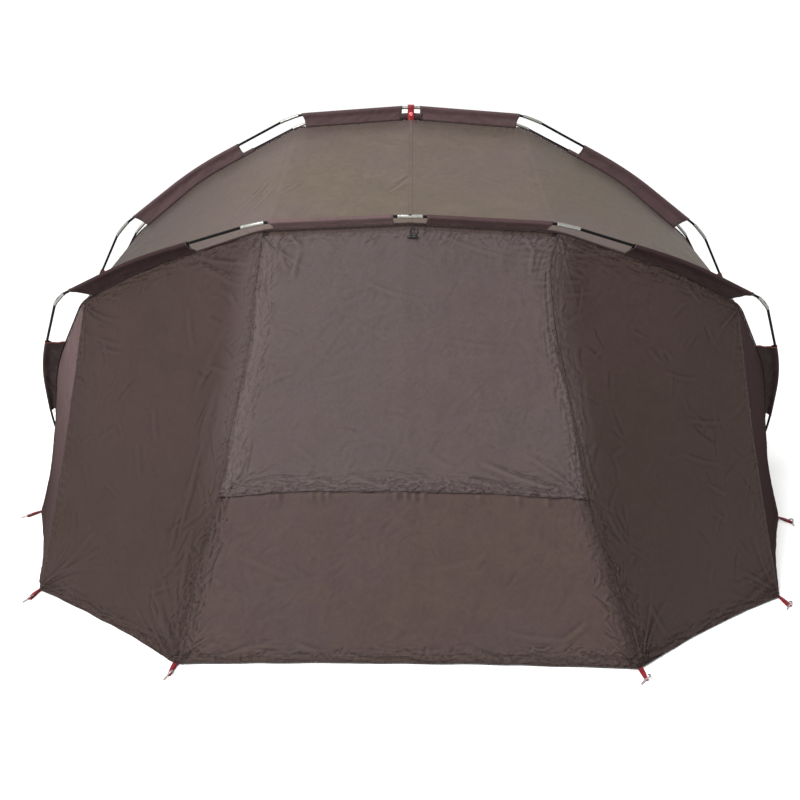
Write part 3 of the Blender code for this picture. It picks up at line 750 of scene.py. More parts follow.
def newTree(name, sockets):
    tree = bpy.data.node_groups.new(name, "GeometryNodeTree")
    tree.interface.new_socket("Geometry", in_out="INPUT", socket_type="NodeSocketGeometry")
    for label, kind, value in sockets:
        tree.interface.new_socket(label, in_out="INPUT", socket_type="NodeSocket" + kind).default_value = value
    tree.interface.new_socket("Finish", in_out="INPUT", socket_type="NodeSocketMaterial")
    tree.interface.new_socket("Geometry", in_out="OUTPUT", socket_type="NodeSocketGeometry")
    return tree, addNode(tree, "NodeGroupInput").outputs


def finishTree(tree, given, shape):
    real = addNode(tree, "GeometryNodeRealizeInstances", {"Geometry": shape})
    look = addNode(tree, "GeometryNodeSetMaterial", {"Geometry": real.outputs[0], "Material": given["Finish"]})
    addNode(tree, "NodeGroupOutput", {0: look.outputs[0]})
    return tree


def rodTree():
    tree, given = newTree("rodAlongPath", [("Radius", "Float", 0.004), ("Sides", "Int", 12)])
    ring = addNode(tree, "GeometryNodeCurvePrimitiveCircle",
                   {"Resolution": given["Sides"], "Radius": given["Radius"]}, mode="RADIUS")
    body = addNode(tree, "GeometryNodeCurveToMesh",
                   {"Curve": given["Geometry"], "Profile Curve": ring.outputs[0], "Fill Caps": True})
    smooth = addNode(tree, "GeometryNodeSetShadeSmooth", {"Geometry": body.outputs[0]})
    return finishTree(tree, given, smooth.outputs[0])


def stitchTree():
    tree, given = newTree("stitchesAlongPath", [("Pitch", "Float", 0.008), ("Long", "Float", 0.0055),
                                                ("Radius", "Float", 0.0006)])
    spaced = addNode(tree, "GeometryNodeResampleCurve",
                     {"Curve": given["Geometry"], "Length": given["Pitch"]}, mode="LENGTH")
    thread = addNode(tree, "GeometryNodeMeshCylinder",
                     {"Vertices": 4, "Radius": given["Radius"], "Depth": given["Long"]}, fill_type="NGON")
    ahead = addNode(tree, "GeometryNodeInputTangent")
    turn = addNode(tree, "FunctionNodeAlignRotationToVector", {"Vector": ahead.outputs[0]}, axis="Z")
    placed = addNode(tree, "GeometryNodeInstanceOnPoints", {
        "Points": spaced.outputs[0], "Instance": thread.outputs[0], "Rotation": turn.outputs[0]})
    return finishTree(tree, given, placed.outputs[0])


trees = {"rod": rodTree(), "stitch": stitchTree()}


def meshOf(holder, name):
    # The mesh that an object's modifiers make of it
    bpy.context.view_layer.update()
    graph = bpy.context.evaluated_depsgraph_get()
    mesh = bpy.data.meshes.new_from_object(holder.evaluated_get(graph), preserve_all_data_layers=True,
                                           depsgraph=graph)
    mesh.name = name
    return mesh


def alongPaths(name, paths, tree, values, look):
    # The paths become a curve, the tree makes its mesh, and the result is kept as a plain piece
    data = bpy.data.curves.new(name + "Path", "CURVE")
    data.dimensions = "3D"
    for path in paths:
        spline = data.splines.new("POLY")
        spline.points.add(len(path) - 1)
        weighted = np.concatenate([np.asarray(path), np.ones((len(path), 1))], 1)
        spline.points.foreach_set("co", weighted.reshape(-1))
    holder = bpy.data.objects.new(name + "Path", data)
    scene.collection.objects.link(holder)
    step = holder.modifiers.new("made", "NODES")
    step.node_group = trees[tree]
    values = {**values, "Finish": finishes[look]}
    for item in trees[tree].interface.items_tree:
        if item.item_type == "SOCKET" and item.in_out == "INPUT" and item.name in values:
            step[item.identifier] = values[item.name]
    mesh = meshOf(holder, name)
    piece = bpy.data.objects.new(name, mesh)
    scene.collection.objects.link(piece)
    bpy.data.objects.remove(holder, do_unlink=True)
    held = mesh.attributes.new("clothPlace", "FLOAT_VECTOR", "POINT")
    held.data.foreach_set("vector", np.tile((0.01, 0.01, 0.05), len(mesh.vertices)))
    return piece


pieces, sheets = {}, {}


def keep(piece, replaced=()):
    # Rides the tent's one body, and stands for the frame's nodes it was made from
    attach(piece, "root")
    if replaced:
        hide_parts(*replaced)
    pieces[piece.name] = piece
    return piece


def keepSheet(piece, grid, slotName, node):
    keep(piece, [node])
    sheets[piece.name] = (piece, grid)


# Trim: strips, stitches and binding are noted while the sheets are made, and built after them

trimLook = {"tape": (0.0004, 0.0105), "tapeThick": 0.0007, "tapeSink": 0.0012, "tapeRound": 0.0008,
            "tapeStitches": (0.0028, 0.0082), "overTape": 0.0009, "overCloth": 0.0003}
tapes, threads, bindings, sleeveEnds = {}, {}, {}, {}


def note(book, group, item):
    book.setdefault(group, []).append(item)


def tapeRings(g, edge):
    # A narrow doubled strip lying on a sheet along one edge
    (low, high), thick, sink = trimLook["tape"], trimLook["tapeThick"], trimLook["tapeSink"]
    rounded = trimLook["tapeRound"]
    rows = []
    for d, lift in ((low, -sink), (low, thick * 0.6), (low + rounded, thick), ((low + high) / 2, thick * 1.12),
                    (high - rounded, thick), (high, thick * 0.6), (high, -sink)):
        rows.append(stitchLine(g, edge, d, lift))
    return np.stack(rows, 1)


def stitchLine(g, edge, distance, lift):
    p, n = edgeRow(g, edge, distance)
    return p + n * lift


def trimSeam(g, edge, group):
    note(tapes, group, tapeRings(g, edge))
    for distance in trimLook["tapeStitches"]:
        note(threads, group, stitchLine(g, edge, distance, trimLook["overTape"]))


def trimHem(g, end, group):
    note(threads, group, stitchLine(g, "low", hemFold["stitches"], trimLook["overCloth"]))
    note(bindings, end, edgeRow(g, "low", 0.0)[0])


# Edges that neighbouring panels share

edgeLook = {
    "doorShift": {("front", "left"): [(0, 0), (0.2, 0.012), (0.38, 0.034), (0.53, 0.027), (0.72, 0.031),
                                      (0.84, 0.015), (1, 0)],
                  ("front", "right"): [(0, 0), (0.37, 0.067), (0.586, 0.060), (0.695, 0.067), (0.82, 0.064),
                                       (0.92, 0.048), (1, 0)],
                  ("back", "left"): [(0, 0), (0.37, 0.040), (0.7, 0.036), (0.9, 0.014), (1, 0)],
                  ("back", "right"): [(0, 0), (0.37, 0.062), (0.7, 0.060), (0.9, 0.040), (1, 0)]},
    "hemBow": 0.017,       # how far a hem is cut in between its pegs
    "cornerLift": 0.007,   # how far the peg loops hold a corner off the ground
    "hemLift": 0.0060,     # how far the waves of a hem leave the ground
    "hemRipples": ((0.055, 0.3, 0.0022), (0.17, 4.3, 0.0035)),  # length, row of the noise, and height
    "hemWave": 0.12,
    "seamWander": 0.0016,  # how far a sewn line wanders from a true one
    "seamHollow": 0.010,
}


def hemPoint(end, spot, side):
    x, y = tent["hem"][spot]
    return np.array((side * x, ends[end] * y, 0.0 if spot == "hub" else edgeLook["cornerLift"]))


def hemSpan(a, b, seed, bow=edgeLook["hemBow"]):
    long = np.linalg.norm(b - a)
    inward = unit(np.cross(b - a, (0.0, 0.0, 1.0)))
    inward = -inward if inward @ (a + b) > 0 else inward

    def at(share):
        share = np.asarray(share)
        line = a + (b - a) * share[:, None]
        arch = np.clip(4 * share * (1 - share), 0, 1)
        ripples = sum(ripple(share * long / size, row, seed) * tall
                      for size, row, tall in edgeLook["hemRipples"])
        line = line + inward * (bow * arch + ripples * np.sqrt(arch))[:, None]
        waves = (0.6 + 1.2 * ripple(share * long / edgeLook["hemWave"], 8.1, seed)).clip(0, 1.6)
        line[:, 2] = line[:, 2] * (1 - 0.8 * arch ** 0.5) + edgeLook["hemLift"] * arch ** 0.5 * waves
        return line
    return at


def wander(share, long, each, row, seed):
    # How far a seam of some length strays, with a turn at about each stretch of it
    return ripple(share * long / each, row, seed) * edgeLook["seamWander"] * np.sin(math.pi * share) ** 0.5


def doorSeam(end, label, side):
    # From the hem up to the elbow, with the sideways sway that the sewing gave it
    low = hemPoint(end, "door", side)
    high = onRib(end, "seam", [side * 1.0])[0]
    sway = bySmooth(edgeLook["doorShift"][end, label])

    def at(share):
        share = np.asarray(share)
        line = low + (high - low) * share[:, None]
        level = sway(0.0) * (1 - share) + sway(1.0) * share
        line[:, 0] -= side * (sway(share) - level + wander(share, 1.4, 0.05, side * 3.7, 11))
        return line
    return at


def cornerSeam(end, side):
    # From the hem corner up to the shoulder
    low, high = hemPoint(end, "corner", side), onRib(end, "seam", [side * 3.0])[0]
    across = unit(np.cross(high - low, (0.0, 0.0, 1.0)))

    def at(share):
        share = np.asarray(share)
        line = low + (high - low) * share[:, None]
        inward = -edgeLook["seamHollow"] * np.sin(math.pi * share)
        sideways = wander(share, 1.1, 0.06, side * 1.7, 12)
        return line + np.outer(sideways, across) + np.outer(inward, unit(line.mean(0) * (1, 1, 0)))
    return at


def straight(a, b):
    return lambda share: a + (b - a) * np.asarray(share)[:, None]


def chain(points):
    reach = np.concatenate([[0], np.cumsum(np.linalg.norm(np.diff(points, axis=0), axis=1))])
    return lambda share: np.stack([np.interp(np.asarray(share) * reach[-1], reach, points[:, k])
                                   for k in range(3)], -1)


# End panels: the big trapezium under each end's flap

panelLook = {
    "step": {"front": 0.0030, "back": 0.0046}, "coarse": {"front": 2, "back": 3},
    "seed": {"front": 100, "back": 150}, "hemSeed": {"front": 21, "back": 22},
    "slack": 0.004, "bumps": ((0.22, 0.0030), (0.09, 0.0011)), "crumple": ((0.060, 0.0010), (0.028, 0.0005)),
    "relief": [(puckers, "left", 20, 0.052, 0.060, 0.0022, 1.6),
               (puckers, "right", 21, 0.044, 0.050, 0.0022, 1.4),
               (crushed, "left", 50, 0.050, 0.0042), (crushed, "right", 54, 0.044, 0.0044),
               (puckers, "low", 22, 0.046, 0.036, 0.0026, 0.4), (crushed, "low", 58, 0.042, 0.0062),
               (nicks, "left", 60, 0.042, 0.013, 0.0026), (nicks, "right", 61, 0.036, 0.014, 0.0024),
               (nicks, "low", 62, 0.034, 0.015, 0.0026),
               (nicks, "right", 65, 0.060, 0.006, 0.0034, (0.0, 0.30)),
               (nicks, "low", 66, 0.050, 0.007, 0.0034, (1.05, 1.41)),
               (nicks, "left", 67, 0.050, 0.009, 0.0024, (0.0, 0.28)),
               (nicks, "low", 68, 0.38, 0.055, 0.0009, wholeSeam, 2.0),
               (puckers, "high", 23, 0.018, 0.030, 0.0018, 0.3),
               (fan, ("left", "low"), 30, 0.10, 0.0090), (fan, ("right", "low"), 31, 0.10, 0.0080)],
    "folds": [(-0.569, 0.029, -0.42, 0.055, 2.0, 9), (-0.341, 0.053, -0.256, 0.032, 1.8, 8),
              (0.184, 0.044, 0.329, 0.010, 2.2, 9), (0.50, 0.040, 0.66, 0.012, 2.2, 9),
              (0.469, 0.069, 0.546, 0.127, 2.0, 9), (-0.597, 0.236, -0.569, 0.217, 1.4, 7),
              (0.30, 0.09, 0.48, 0.075, 1.5, 9), (-0.10, 0.040, 0.12, 0.036, 1.8, 9),
              (-0.52, 0.30, -0.35, 0.24, 1.1, 10), (0.05, 0.26, 0.24, 0.30, 0.9, 12)],
    "recess": 0.0030, "blend": 0.055,  # the panel is painted in the wings' shade towards its seams, as painted shade
    "groove": 0.0030, "covered": 0.60,
    # Gathers that hang from the flap's bottom seam: place across, then height and width in millimetres
    "hanging": [(-0.275, 11, 9), (-0.302, 8, 7), (-0.250, 9, 7), (-0.405, 10, 8), (-0.040, 12, 8),
                (-0.008, 9, 6), (0.018, 9, 6), (0.046, 12, 8), (0.22, 6, 8), (0.34, 8, 8), (0.43, 8, 8)],
}


def makePanel(end):
    look, seed, flap = panelLook, panelLook["seed"][end], flapPlace(end)
    low = hemSpan(hemPoint(end, "door", -1), hemPoint(end, "door", 1), look["hemSeed"][end])
    g = makeGrid(low, ribSpan(end, -1.0, 1.0), doorSeam(end, "left", -1), doorSeam(end, "right", 1),
                 look["step"][end])
    x, z = g["base"][..., 0], g["base"][..., 2]
    inside = (ease((x - flap["left"](z)) / 0.02) * ease((flap["right"](z) - x) / 0.02)
              * ease((z - flap["low"](x)) / 0.02))
    g["soft"] = sagging(g, look, seed)
    h = g["soft"] + crumples(g, look, seed) * pinned(g) * (1 - inside)
    if end == "front":
        h = h + creases(g, look["folds"]) * pinned(g, 0.006)
    h = worked(g, h, look["relief"], seed) + doubled(g)
    below = flap["low"](x) - z
    for at, tallMm, wideMm in look["hanging"]:
        h = h + (tallMm / 1000 * np.exp(-((x - at) / (wideMm / 1000)) ** 2) * ease(below / 0.005)
                 * np.exp(-(np.maximum(below, 0) / 0.021) ** 2))
    groove = look["groove"] * (0.9 + 1.1 * ripple(x / 0.045, 0.5, seed + 63))
    h = h - groove * ease(np.minimum(g["left"], g["right"]) / 0.01) * np.exp(-((below - 0.001) / 0.0040) ** 2)
    h = h * (1 - inside) + (g["soft"] - look["recess"]) * inside
    # Painted shade: towards the door seams the panel takes the wings' shaded tone, and it is darker towards
    # the hem
    tone = (ease(0.45 + 0.55 * g["left"] / look["blend"]) * ease(g["right"] / look["blend"])
            * (0.50 + 0.50 * ease(g["low"] / look["blend"])))
    piece = addSheet(end + "Panel", g, h, "front", coarse=look["coarse"][end], covered=look["covered"],
                     tone=tone)
    trimHem(g, end, end)
    return piece, g


# Flaps: the zipped cover of each end, over the panel's upper part

flapLook = {
    "step": {"front": 0.0030, "back": 0.0046}, "coarse": {"front": 2, "back": 3},
    "seed": {"front": 200, "back": 250}, "size": (1.05, 0.86), "thick": 0.0016,
    "proud": 0.0018, "paintedLightBorder": 0.085,  # height over the panel, and the width of its left border, painted paler as painted light
    "zipTop": 0.93,  # over this height the flap lies right against the seam
    "gap": {"left": 0.0006, "right": 0.005},  # what each side leaves of the panel beside the door seam
    "topGap": 0.016, "stitches": (0.0022, 0.0072),
    "low": {"front": [(-0.70, 0.460), (-0.585, 0.466), (-0.413, 0.480), (-0.18, 0.486), (0.036, 0.484),
                      (0.283, 0.480), (0.54, 0.468), (0.70, 0.460)],
            "back": [(-0.60, 0.462), (-0.2, 0.478), (0.3, 0.482), (0.60, 0.464)]},
    "bumps": ((0.26, 0.0034), (0.10, 0.0013)), "crumple": ((0.070, 0.0011), (0.030, 0.0006)),
    "relief": [(puckers, "right", 20, 0.026, 0.034, 0.0036, 0.6, (0.0, 0.95)),
               (puckers, "left", 21, 0.046, 0.060, 0.0026, 0.5, (0.0, 0.95)),
               (crushed, "left", 50, 0.064, 0.0056), (crushed, "right", 54, 0.036, 0.0044),
               (crushed, "low", 58, 0.052, 0.0085), (crushed, "high", 62, 0.030, 0.0018),
               (nicks, "left", 60, 0.060, 0.0060, 0.0034), (nicks, "low", 62, 0.034, 0.0085, 0.0026),
               (nicks, "right", 61, 0.026, 0.010, 0.0024, (0.0, 0.56)),
               (nicks, "high", 64, 0.03, 0.02, 0.0018),
               (nicks, "low", 65, 0.028, 0.0055, 0.0036, (0.60, 1.03)),
               (nicks, "low", 66, 0.68, 0.045, 0.0009, wholeSeam, 2.0),
               (puckers, "high", 22, 0.034, 0.045, 0.0020, 0.6),
               (puckers, "low", 23, 0.060, 0.042, 0.0046, 3.4, (0.0, 1.2)),
               (fan, ("left", "high"), 38, 0.16, 0.0060, 6), (fan, ("right", "high"), 39, 0.16, 0.0060, 6),
               (fan, ("right", "low"), 38, 0.16, 0.0060, 6), (fan, ("left", "low"), 37, 0.16, 0.0060, 6)],
    "folds": [(-0.181, 0.525, -0.01, 0.492, 2.6, 8), (0.231, 0.565, 0.478, 0.494, 4.4, 9),
              (0.274, 0.505, 0.478, 0.484, 3.6, 6), (0.20, 0.530, 0.46, 0.490, -3.0, 8),
              (0.36, 1.225, 0.44, 1.222, 1.6, 6), (0.37, 1.198, 0.45, 1.190, -1.6, 6),
              (0.36, 1.168, 0.445, 1.165, 1.5, 6), (0.37, 1.135, 0.45, 1.140, -1.3, 6),
              (0.38, 1.10, 0.455, 1.095, 1.4, 6), (0.30, 1.21, 0.40, 1.205, 1.0, 6),
              (-0.387, 1.245, -0.350, 1.203, 3.4, 8), (-0.421, 1.193, -0.390, 1.124, 3.0, 9),
              (-0.35, 1.20, -0.375, 1.10, 2.2, 9), (0.369, 1.236, 0.401, 1.185, 3.4, 8),
              (0.395, 1.20, 0.385, 1.12, 2.2, 9), (0.073, 1.250, 0.365, 1.161, 1.1, 6),
              (-0.155, 1.100, 0.064, 1.039, 1.1, 7), (0.0, 1.179, 0.064, 1.156, 1.0, 6),
              (0.10, 0.93, 0.30, 0.90, 0.8, 8), (-0.30, 0.80, -0.16, 0.83, 0.8, 9),
              (-0.36, 0.62, -0.28, 0.56, 1.0, 8), (0.05, 0.60, 0.14, 0.55, 0.9, 9)],
    "hemRoll": 0.0036, "knot": 0.006,
    # Pinched gathers over the bottom seam: place across, then height and width in millimetres
    "pinched": [(0.290, -3.0, 4), (0.312, -3.6, 5), (0.338, -2.6, 4), (0.362, -3.8, 5), (0.390, -3.0, 4),
                (0.414, -3.6, 5), (0.442, -3.2, 4), (0.470, -3.8, 5), (-0.27, -2.6, 4), (-0.02, -2.6, 4),
                (0.03, -3.0, 4), (-0.42, -2.6, 5), (-0.50, -2.8, 5)],
}


def flapPlace(end):
    # Where the flap's sides and its bottom lie: the sides follow the door's seams
    bottom = bySmooth(flapLook["low"][end], 0.06)
    found = {"low": lambda across: bottom(across) + 0.0045 * ripple(across / 0.055, 0.5, 71)}
    gaps, zipTop = flapLook["gap"], flapLook["zipTop"]
    for label, side in sides:
        line = doorSeam(end, label, side)(np.linspace(0, 1, 200))
        z = line[:, 2]
        x = line[:, 0] - side * np.interp(z, (zipTop, zipTop + 0.1), (gaps[label], gaps["left"]))
        found[label] = lambda up, x=x, z=z: np.interp(up, z, x)
    return found


def flapGridOn(end, soft):
    # The flap's grid on the panel's soft face, found by a few steps from height and place across
    flap, step = flapPlace(end), flapLook["step"][end]
    na, nb = (int(long / step) + 1 for long in flapLook["size"])
    a, b = np.linspace(0, 1, na)[:, None], np.linspace(0, 1, nb)[None]
    rowX, rowZ = soft[:, -1, 0], soft[:, -1, 2]
    x = np.zeros((na, nb))
    for _ in range(4):
        zLow = flap["low"](x)
        z = zLow + (np.interp(x, rowX, rowZ) - flapLook["topGap"] - zLow) * b
        x = flap["left"](z) + (flap["right"](z) - flap["left"](z)) * a

    def edgeX(v, column):
        line = soft[column]
        return np.interp(v, np.linspace(0, 1, len(line)), line[:, 0])

    top = np.interp(x, rowX, rowZ)
    v = z / top
    for _ in range(4):
        u = np.clip((x - edgeX(v, 0)) / (edgeX(v, -1) - edgeX(v, 0)), 0, 1)
        at = bilinear(soft, u, v)
        v = np.clip(v + (z - at[..., 2]) / top, 0, 0.997)
    u = np.clip(u + (x - at[..., 0]) / (edgeX(v, -1) - edgeX(v, 0)), 0, 1)
    return gridOf(bilinear(soft, u, v))


def makeFlap(end, panelGrid):
    look, seed = flapLook, flapLook["seed"][end]
    g = flapGridOn(end, panelGrid["base"] + panelGrid["normal"] * panelGrid["soft"][..., None])
    h = np.full(g["left"].shape, look["proud"])
    for k, (size, tall) in enumerate(look["bumps"]):
        h = h + (bumps(g, size, tall, seed + k) + tall * 0.6) * pinned(g, 0.06)
    h = h + crumples(g, look, seed) * pinned(g, 0.01)
    if end == "front":
        h = h + creases(g, look["folds"]) * ease(g["low"] / 0.004)
    h = worked(g, h, look["relief"], seed)
    roll = 0.75 + 0.8 * ripple(g["alongLow"] / 0.09, 2.5, seed + 40)
    h = h + look["hemRoll"] * roll * np.exp(-((g["low"] - 0.021) / 0.013) ** 2)
    for at, tallMm, wideMm in look["pinched"]:
        off = (g["base"][..., 0] - at - 0.25 * g["low"]) / (wideMm / 1000)
        h = h + tallMm / 1000 * np.exp(-off ** 2) * np.exp(-(g["low"] / 0.034) ** 2)
    for edge in ("left", "right"):
        h = h + look["knot"] * np.exp(-(g[edge] ** 2 + g["low"] ** 2) / 0.017 ** 2)
    # Painted light: a paler band along the left border, back to the plain tone right at the edge
    tone = 1 - (1 - ease(g["left"] / look["paintedLightBorder"])) * ease(g["left"] / 0.020)
    piece = addSheet(end + "Flap", g, np.maximum(h, 0.0008), "flap", thick=look["thick"],
                     coarse=look["coarse"][end], tone=tone)
    for edge in ("right", "low"):
        for distance in look["stitches"]:
            note(threads, end + "Flap", stitchLine(g, edge, distance, trimLook["overCloth"]))
    return piece, g


# Wings: between the door seam and the corner seam

wingLook = {
    "step": {"front": 0.0030, "back": 0.0046}, "coarse": {"front": 2, "back": 3},
    "seed": {"front": 300, "back": 350}, "hemSeed": {"front": 31, "back": 34},
    "slack": 0.010, "bumps": ((0.30, 0.0040), (0.11, 0.0012)), "crumple": ((0.062, 0.0010), (0.027, 0.0005)),
    "relief": [(puckers, "left", 11, 0.036, 0.070, 0.0040, 0.3, (0.90, 1.60)),
               (puckers, "left", 19, 0.060, 0.060, 0.0020, 1.2), (crushed, "left", 50, 0.056, 0.0042),
               (puckers, "right", 12, 0.028, 0.050, 0.0032, 0.4), (crushed, "right", 54, 0.026, 0.0020),
               (puckers, "low", 13, 0.046, 0.036, 0.0026, 0.3), (crushed, "low", 58, 0.046, 0.0080),
               (nicks, "left", 60, 0.046, 0.012, 0.0028), (nicks, "low", 62, 0.036, 0.016, 0.0026),
               (nicks, "left", 67, 0.18, 0.030, 0.0022, (0.10, 1.20), 2.4),
               (nicks, "high", 64, 0.040, 0.018, 0.0022), (nicks, "right", 61, 0.022, 0.020, 0.0018),
               (puckers, "high", 14, 0.030, 0.045, 0.0024, 0.4), (crushed, "high", 62, 0.060, 0.0048),
               (fan, ("left", "low"), 15, 0.19, 0.0095, 16), (fan, ("right", "low"), 16, 0.24, 0.0085, 14),
               (fan, ("right", "high"), 17, 0.22, 0.0060), (fan, ("left", "high"), 18, 0.20, 0.0055)],
    # The photo shows more creases on the right wing
    "own": {"left": [(nicks, "left", 65, 0.070, 0.008, 0.0024, (0.0, 0.34)),
                     (nicks, "right", 66, 0.40, 0.060, 0.0018, (0.12, 1.05), 2.4)],
            "right": [(nicks, "left", 65, 0.070, 0.008, 0.0034, (0.0, 0.34)),
                      (nicks, "right", 66, 0.40, 0.035, 0.0018, (0.12, 1.05), 2.4)]},
    "folds": {
        "right": [(0.486, 1.225, 0.622, 1.165, 3.0, 8), (0.507, 1.136, 0.576, 1.099, 2.6, 8),
                  (0.490, 1.190, 0.590, 1.172, 2.4, 7), (0.47, 1.222, 0.55, 1.214, -2.0, 6),
                  (0.48, 1.10, 0.56, 1.093, 2.0, 6), (0.485, 1.06, 0.60, 1.058, 1.6, 6),
                  (0.500, 1.165, 0.585, 1.140, -3.0, 7), (0.804, 0.869, 0.854, 0.817, 2.6, 8),
                  (0.963, 0.657, 1.05, 0.572, 2.6, 9), (0.948, 1.060, 1.004, 1.000, 3.0, 8),
                  (0.758, 0.138, 0.808, 0.052, 3.4, 10), (0.669, 0.388, 0.682, 0.310, 2.0, 10),
                  (1.146, 0.030, 1.280, 0.070, 3.0, 10), (1.10, 0.09, 1.27, 0.10, 2.0, 9),
                  (0.540, 0.78, 0.556, 0.64, 2.6, 9), (0.60, 1.16, 0.70, 1.10, 1.2, 7),
                  (0.867, 0.79, 0.99, 0.75, 2.2, 7), (0.945, 0.635, 1.09, 0.60, 2.6, 7),
                  (0.97, 0.61, 1.06, 0.54, -2.4, 7), (0.92, 0.53, 1.07, 0.47, 2.4, 7),
                  (1.02, 0.42, 1.10, 0.37, 2.6, 8), (1.03, 0.34, 1.09, 0.29, 2.2, 8),
                  (0.515, 0.76, 0.560, 0.62, 3.0, 9), (0.62, 0.43, 0.68, 0.32, 2.6, 8),
                  (0.655, 0.42, 0.70, 0.34, -2.0, 8), (0.74, 0.93, 0.80, 0.90, 1.8, 7),
                  (0.56, 0.56, 0.60, 0.47, 2.4, 8)],
        "left": [(-0.720, 1.158, -0.530, 1.146, 4.0, 8), (-0.690, 1.138, -0.545, 1.112, -3.0, 8),
                 (-0.640, 1.105, -0.540, 1.075, 2.4, 7), (-0.749, 0.093, -0.690, 0.020, 3.0, 9),
                 (-0.790, 0.140, -0.705, 0.030, 2.4, 9), (-0.72, 0.20, -0.69, 0.05, 2.4, 8),
                 (-1.249, 0.060, -0.837, 0.040, 1.8, 6), (-0.679, 0.365, -0.700, 0.120, 2.4, 10),
                 (-0.62, 0.78, -0.66, 0.55, 2.4, 12), (-0.60, 0.95, -0.70, 0.72, 1.8, 14),
                 (-0.74, 1.00, -0.72, 0.88, 1.6, 9), (-0.86, 0.68, -0.845, 0.57, 1.8, 9),
                 (-1.10, 0.86, -1.00, 0.85, 1.8, 7), (-1.08, 0.83, -1.00, 0.825, 1.6, 7),
                 (-0.92, 0.55, -0.90, 0.45, 1.5, 9), (-0.66, 0.60, -0.70, 0.45, 2.6, 8),
                 (-0.68, 0.50, -0.73, 0.33, 2.8, 8), (-0.72, 0.42, -0.76, 0.28, 2.4, 8),
                 (-0.64, 0.70, -0.67, 0.60, 2.4, 8)]},
    "pale": {"left": (0.70, 0.13), "right": (0.60, 0.10)},  # how much paler it is painted beside the door, as painted light, and how far
}


def makeWing(end, label, side):
    look = wingLook
    low = hemSpan(hemPoint(end, "door", side), hemPoint(end, "corner", side), look["hemSeed"][end] + side)
    g = makeGrid(low, ribSpan(end, side * 1.0, side * 3.0), doorSeam(end, label, side), cornerSeam(end, side),
                 look["step"][end])
    seed = look["seed"][end] + 20 * side
    h = sagging(g, look, seed) + crumples(g, look, seed) * pinned(g)
    if end == "front":
        h = h + creases(g, look["folds"][label]) * pinned(g, 0.006)
    h = worked(g, h, look["relief"] + look["own"][label], seed) + doubled(g)
    # Painted light: paler beside the door seam, towards the flap's tone, above the lowest part of the seam
    share, reach = look["pale"][label]
    tone = 1 - share * (1 - ease(g["left"] / reach)) * ease((g["alongLeft"] - 0.35) / 0.5)
    piece = addSheet(f"{end}Wing{label.capitalize()}", g, h, "wing", coarse=look["coarse"][end], tone=tone)
    trimSeam(g, "right", end + "Wings")
    trimHem(g, end, end + "Wings")
    return piece, g


# Side panels: from the corner seam round to the foot

sideLook = {
    "step": {"front": 0.0038, "back": 0.0048}, "seed": {"front": 400, "back": 450},
    "hems": ((41, 0.012, 60), (44, 0.004, 30)),  # each stretch of hem: its seed, bow and number of points
    "slack": 0.006, "bumps": ((0.26, 0.0036), (0.10, 0.0012)), "crumple": ((0.060, 0.0010),),
    "relief": [(puckers, "left", 11, 0.028, 0.060, 0.0028, 0.5),
               (puckers, "low", 13, 0.030, 0.050, 0.0028, 0.2),
               (puckers, "high", 14, 0.026, 0.050, 0.0026, 0.4),
               (fan, ("left", "low"), 15, 0.36, 0.0046), (fan, ("left", "high"), 16, 0.2, 0.0034)],
    # pale: how much painted light each side panel takes, more on the left, where the light falls
    "hubPlace": 5.97, "pale": {"left": 0.9, "right": 0.22},
}


def makeSide(end, label, side):
    look, hubPlace = sideLook, side * sideLook["hubPlace"]
    corner, flank, hub = (hemPoint(end, spot, side) for spot in ("corner", "side", "hub"))
    first, second = (hemSpan(a, b, seed + side, bow)(np.linspace(0, 1, count)) for (a, b), (seed, bow, count)
                     in zip(((corner, flank), (flank, hub)), look["hems"]))
    second[-1] = hub
    g = makeGrid(chain(np.concatenate([first, second[1:]])), ribSpan(end, side * 3.0, hubPlace),
                 cornerSeam(end, side), straight(hub, onRib(end, "seam", [hubPlace])[0]), look["step"][end])
    seed = look["seed"][end] + 20 * side
    h = sagging(g, look, seed) + crumples(g, look, seed) * pinned(g)
    h = (worked(g, h, look["relief"], seed) + doubled(g)) * ease(g["right"] / 0.05)
    # Painted light: palest high beside the corner seam, and more on the left side, fading away from it to
    # painted shade like the wings'
    pale = look["pale"][label] * (0.30 + 0.70 * ease((g["base"][..., 2] - 0.15) / 0.75))
    piece = addSheet(f"{end}Side{label.capitalize()}", g, h, "side",
                     tone=pale * (1 - 0.75 * ease((g["left"] - 0.25) / 0.60)))
    trimHem(g, end, end + "Wings")
    return piece, g


# Gores: the tapering panels between two ribs' legs

goreLook = {
    "slack": 0.006, "bumps": ((0.20, 0.0030), (0.09, 0.0012)), "crumple": ((0.055, 0.0010),),
    "relief": [(puckers, "left", 15, 0.028, 0.045, 0.0024, 0.4),
               (puckers, "right", 16, 0.028, 0.045, 0.0024, 0.4),
               (puckers, "high", 15, 0.028, 0.045, 0.0024, 0.4)],
    "hubPlace": 5.93, "midSlack": 0.002,
    "step": {"front": 0.0038, "back": 0.0046, "mid": 0.0042}, "seed": {"front": 700, "back": 750, "mid": 780},
}


def makeGore(name, rib, other, side, seed, step, look=goreLook):
    foot, shoulder = side * look["hubPlace"], side * 3.0
    low, high = (straight(onRib(rib, "seam", [at])[0], onRib(other, "seam", [at])[0])
                 for at in (foot, shoulder))
    g = makeGrid(low, high, ribSpan(rib, foot, shoulder), ribSpan(other, foot, shoulder), step)
    h = sagging(g, look, seed) + crumples(g, look, seed) * pinned(g)
    h = worked(g, h, look["relief"], seed) * ease(g["low"] / 0.05)
    piece = addSheet(name, g, h, "wing")
    trimSeam(g, "high", "roof")
    return piece, g


# Roof: three long panels over the crown, with a crease across at each elbow and a seam down the middle

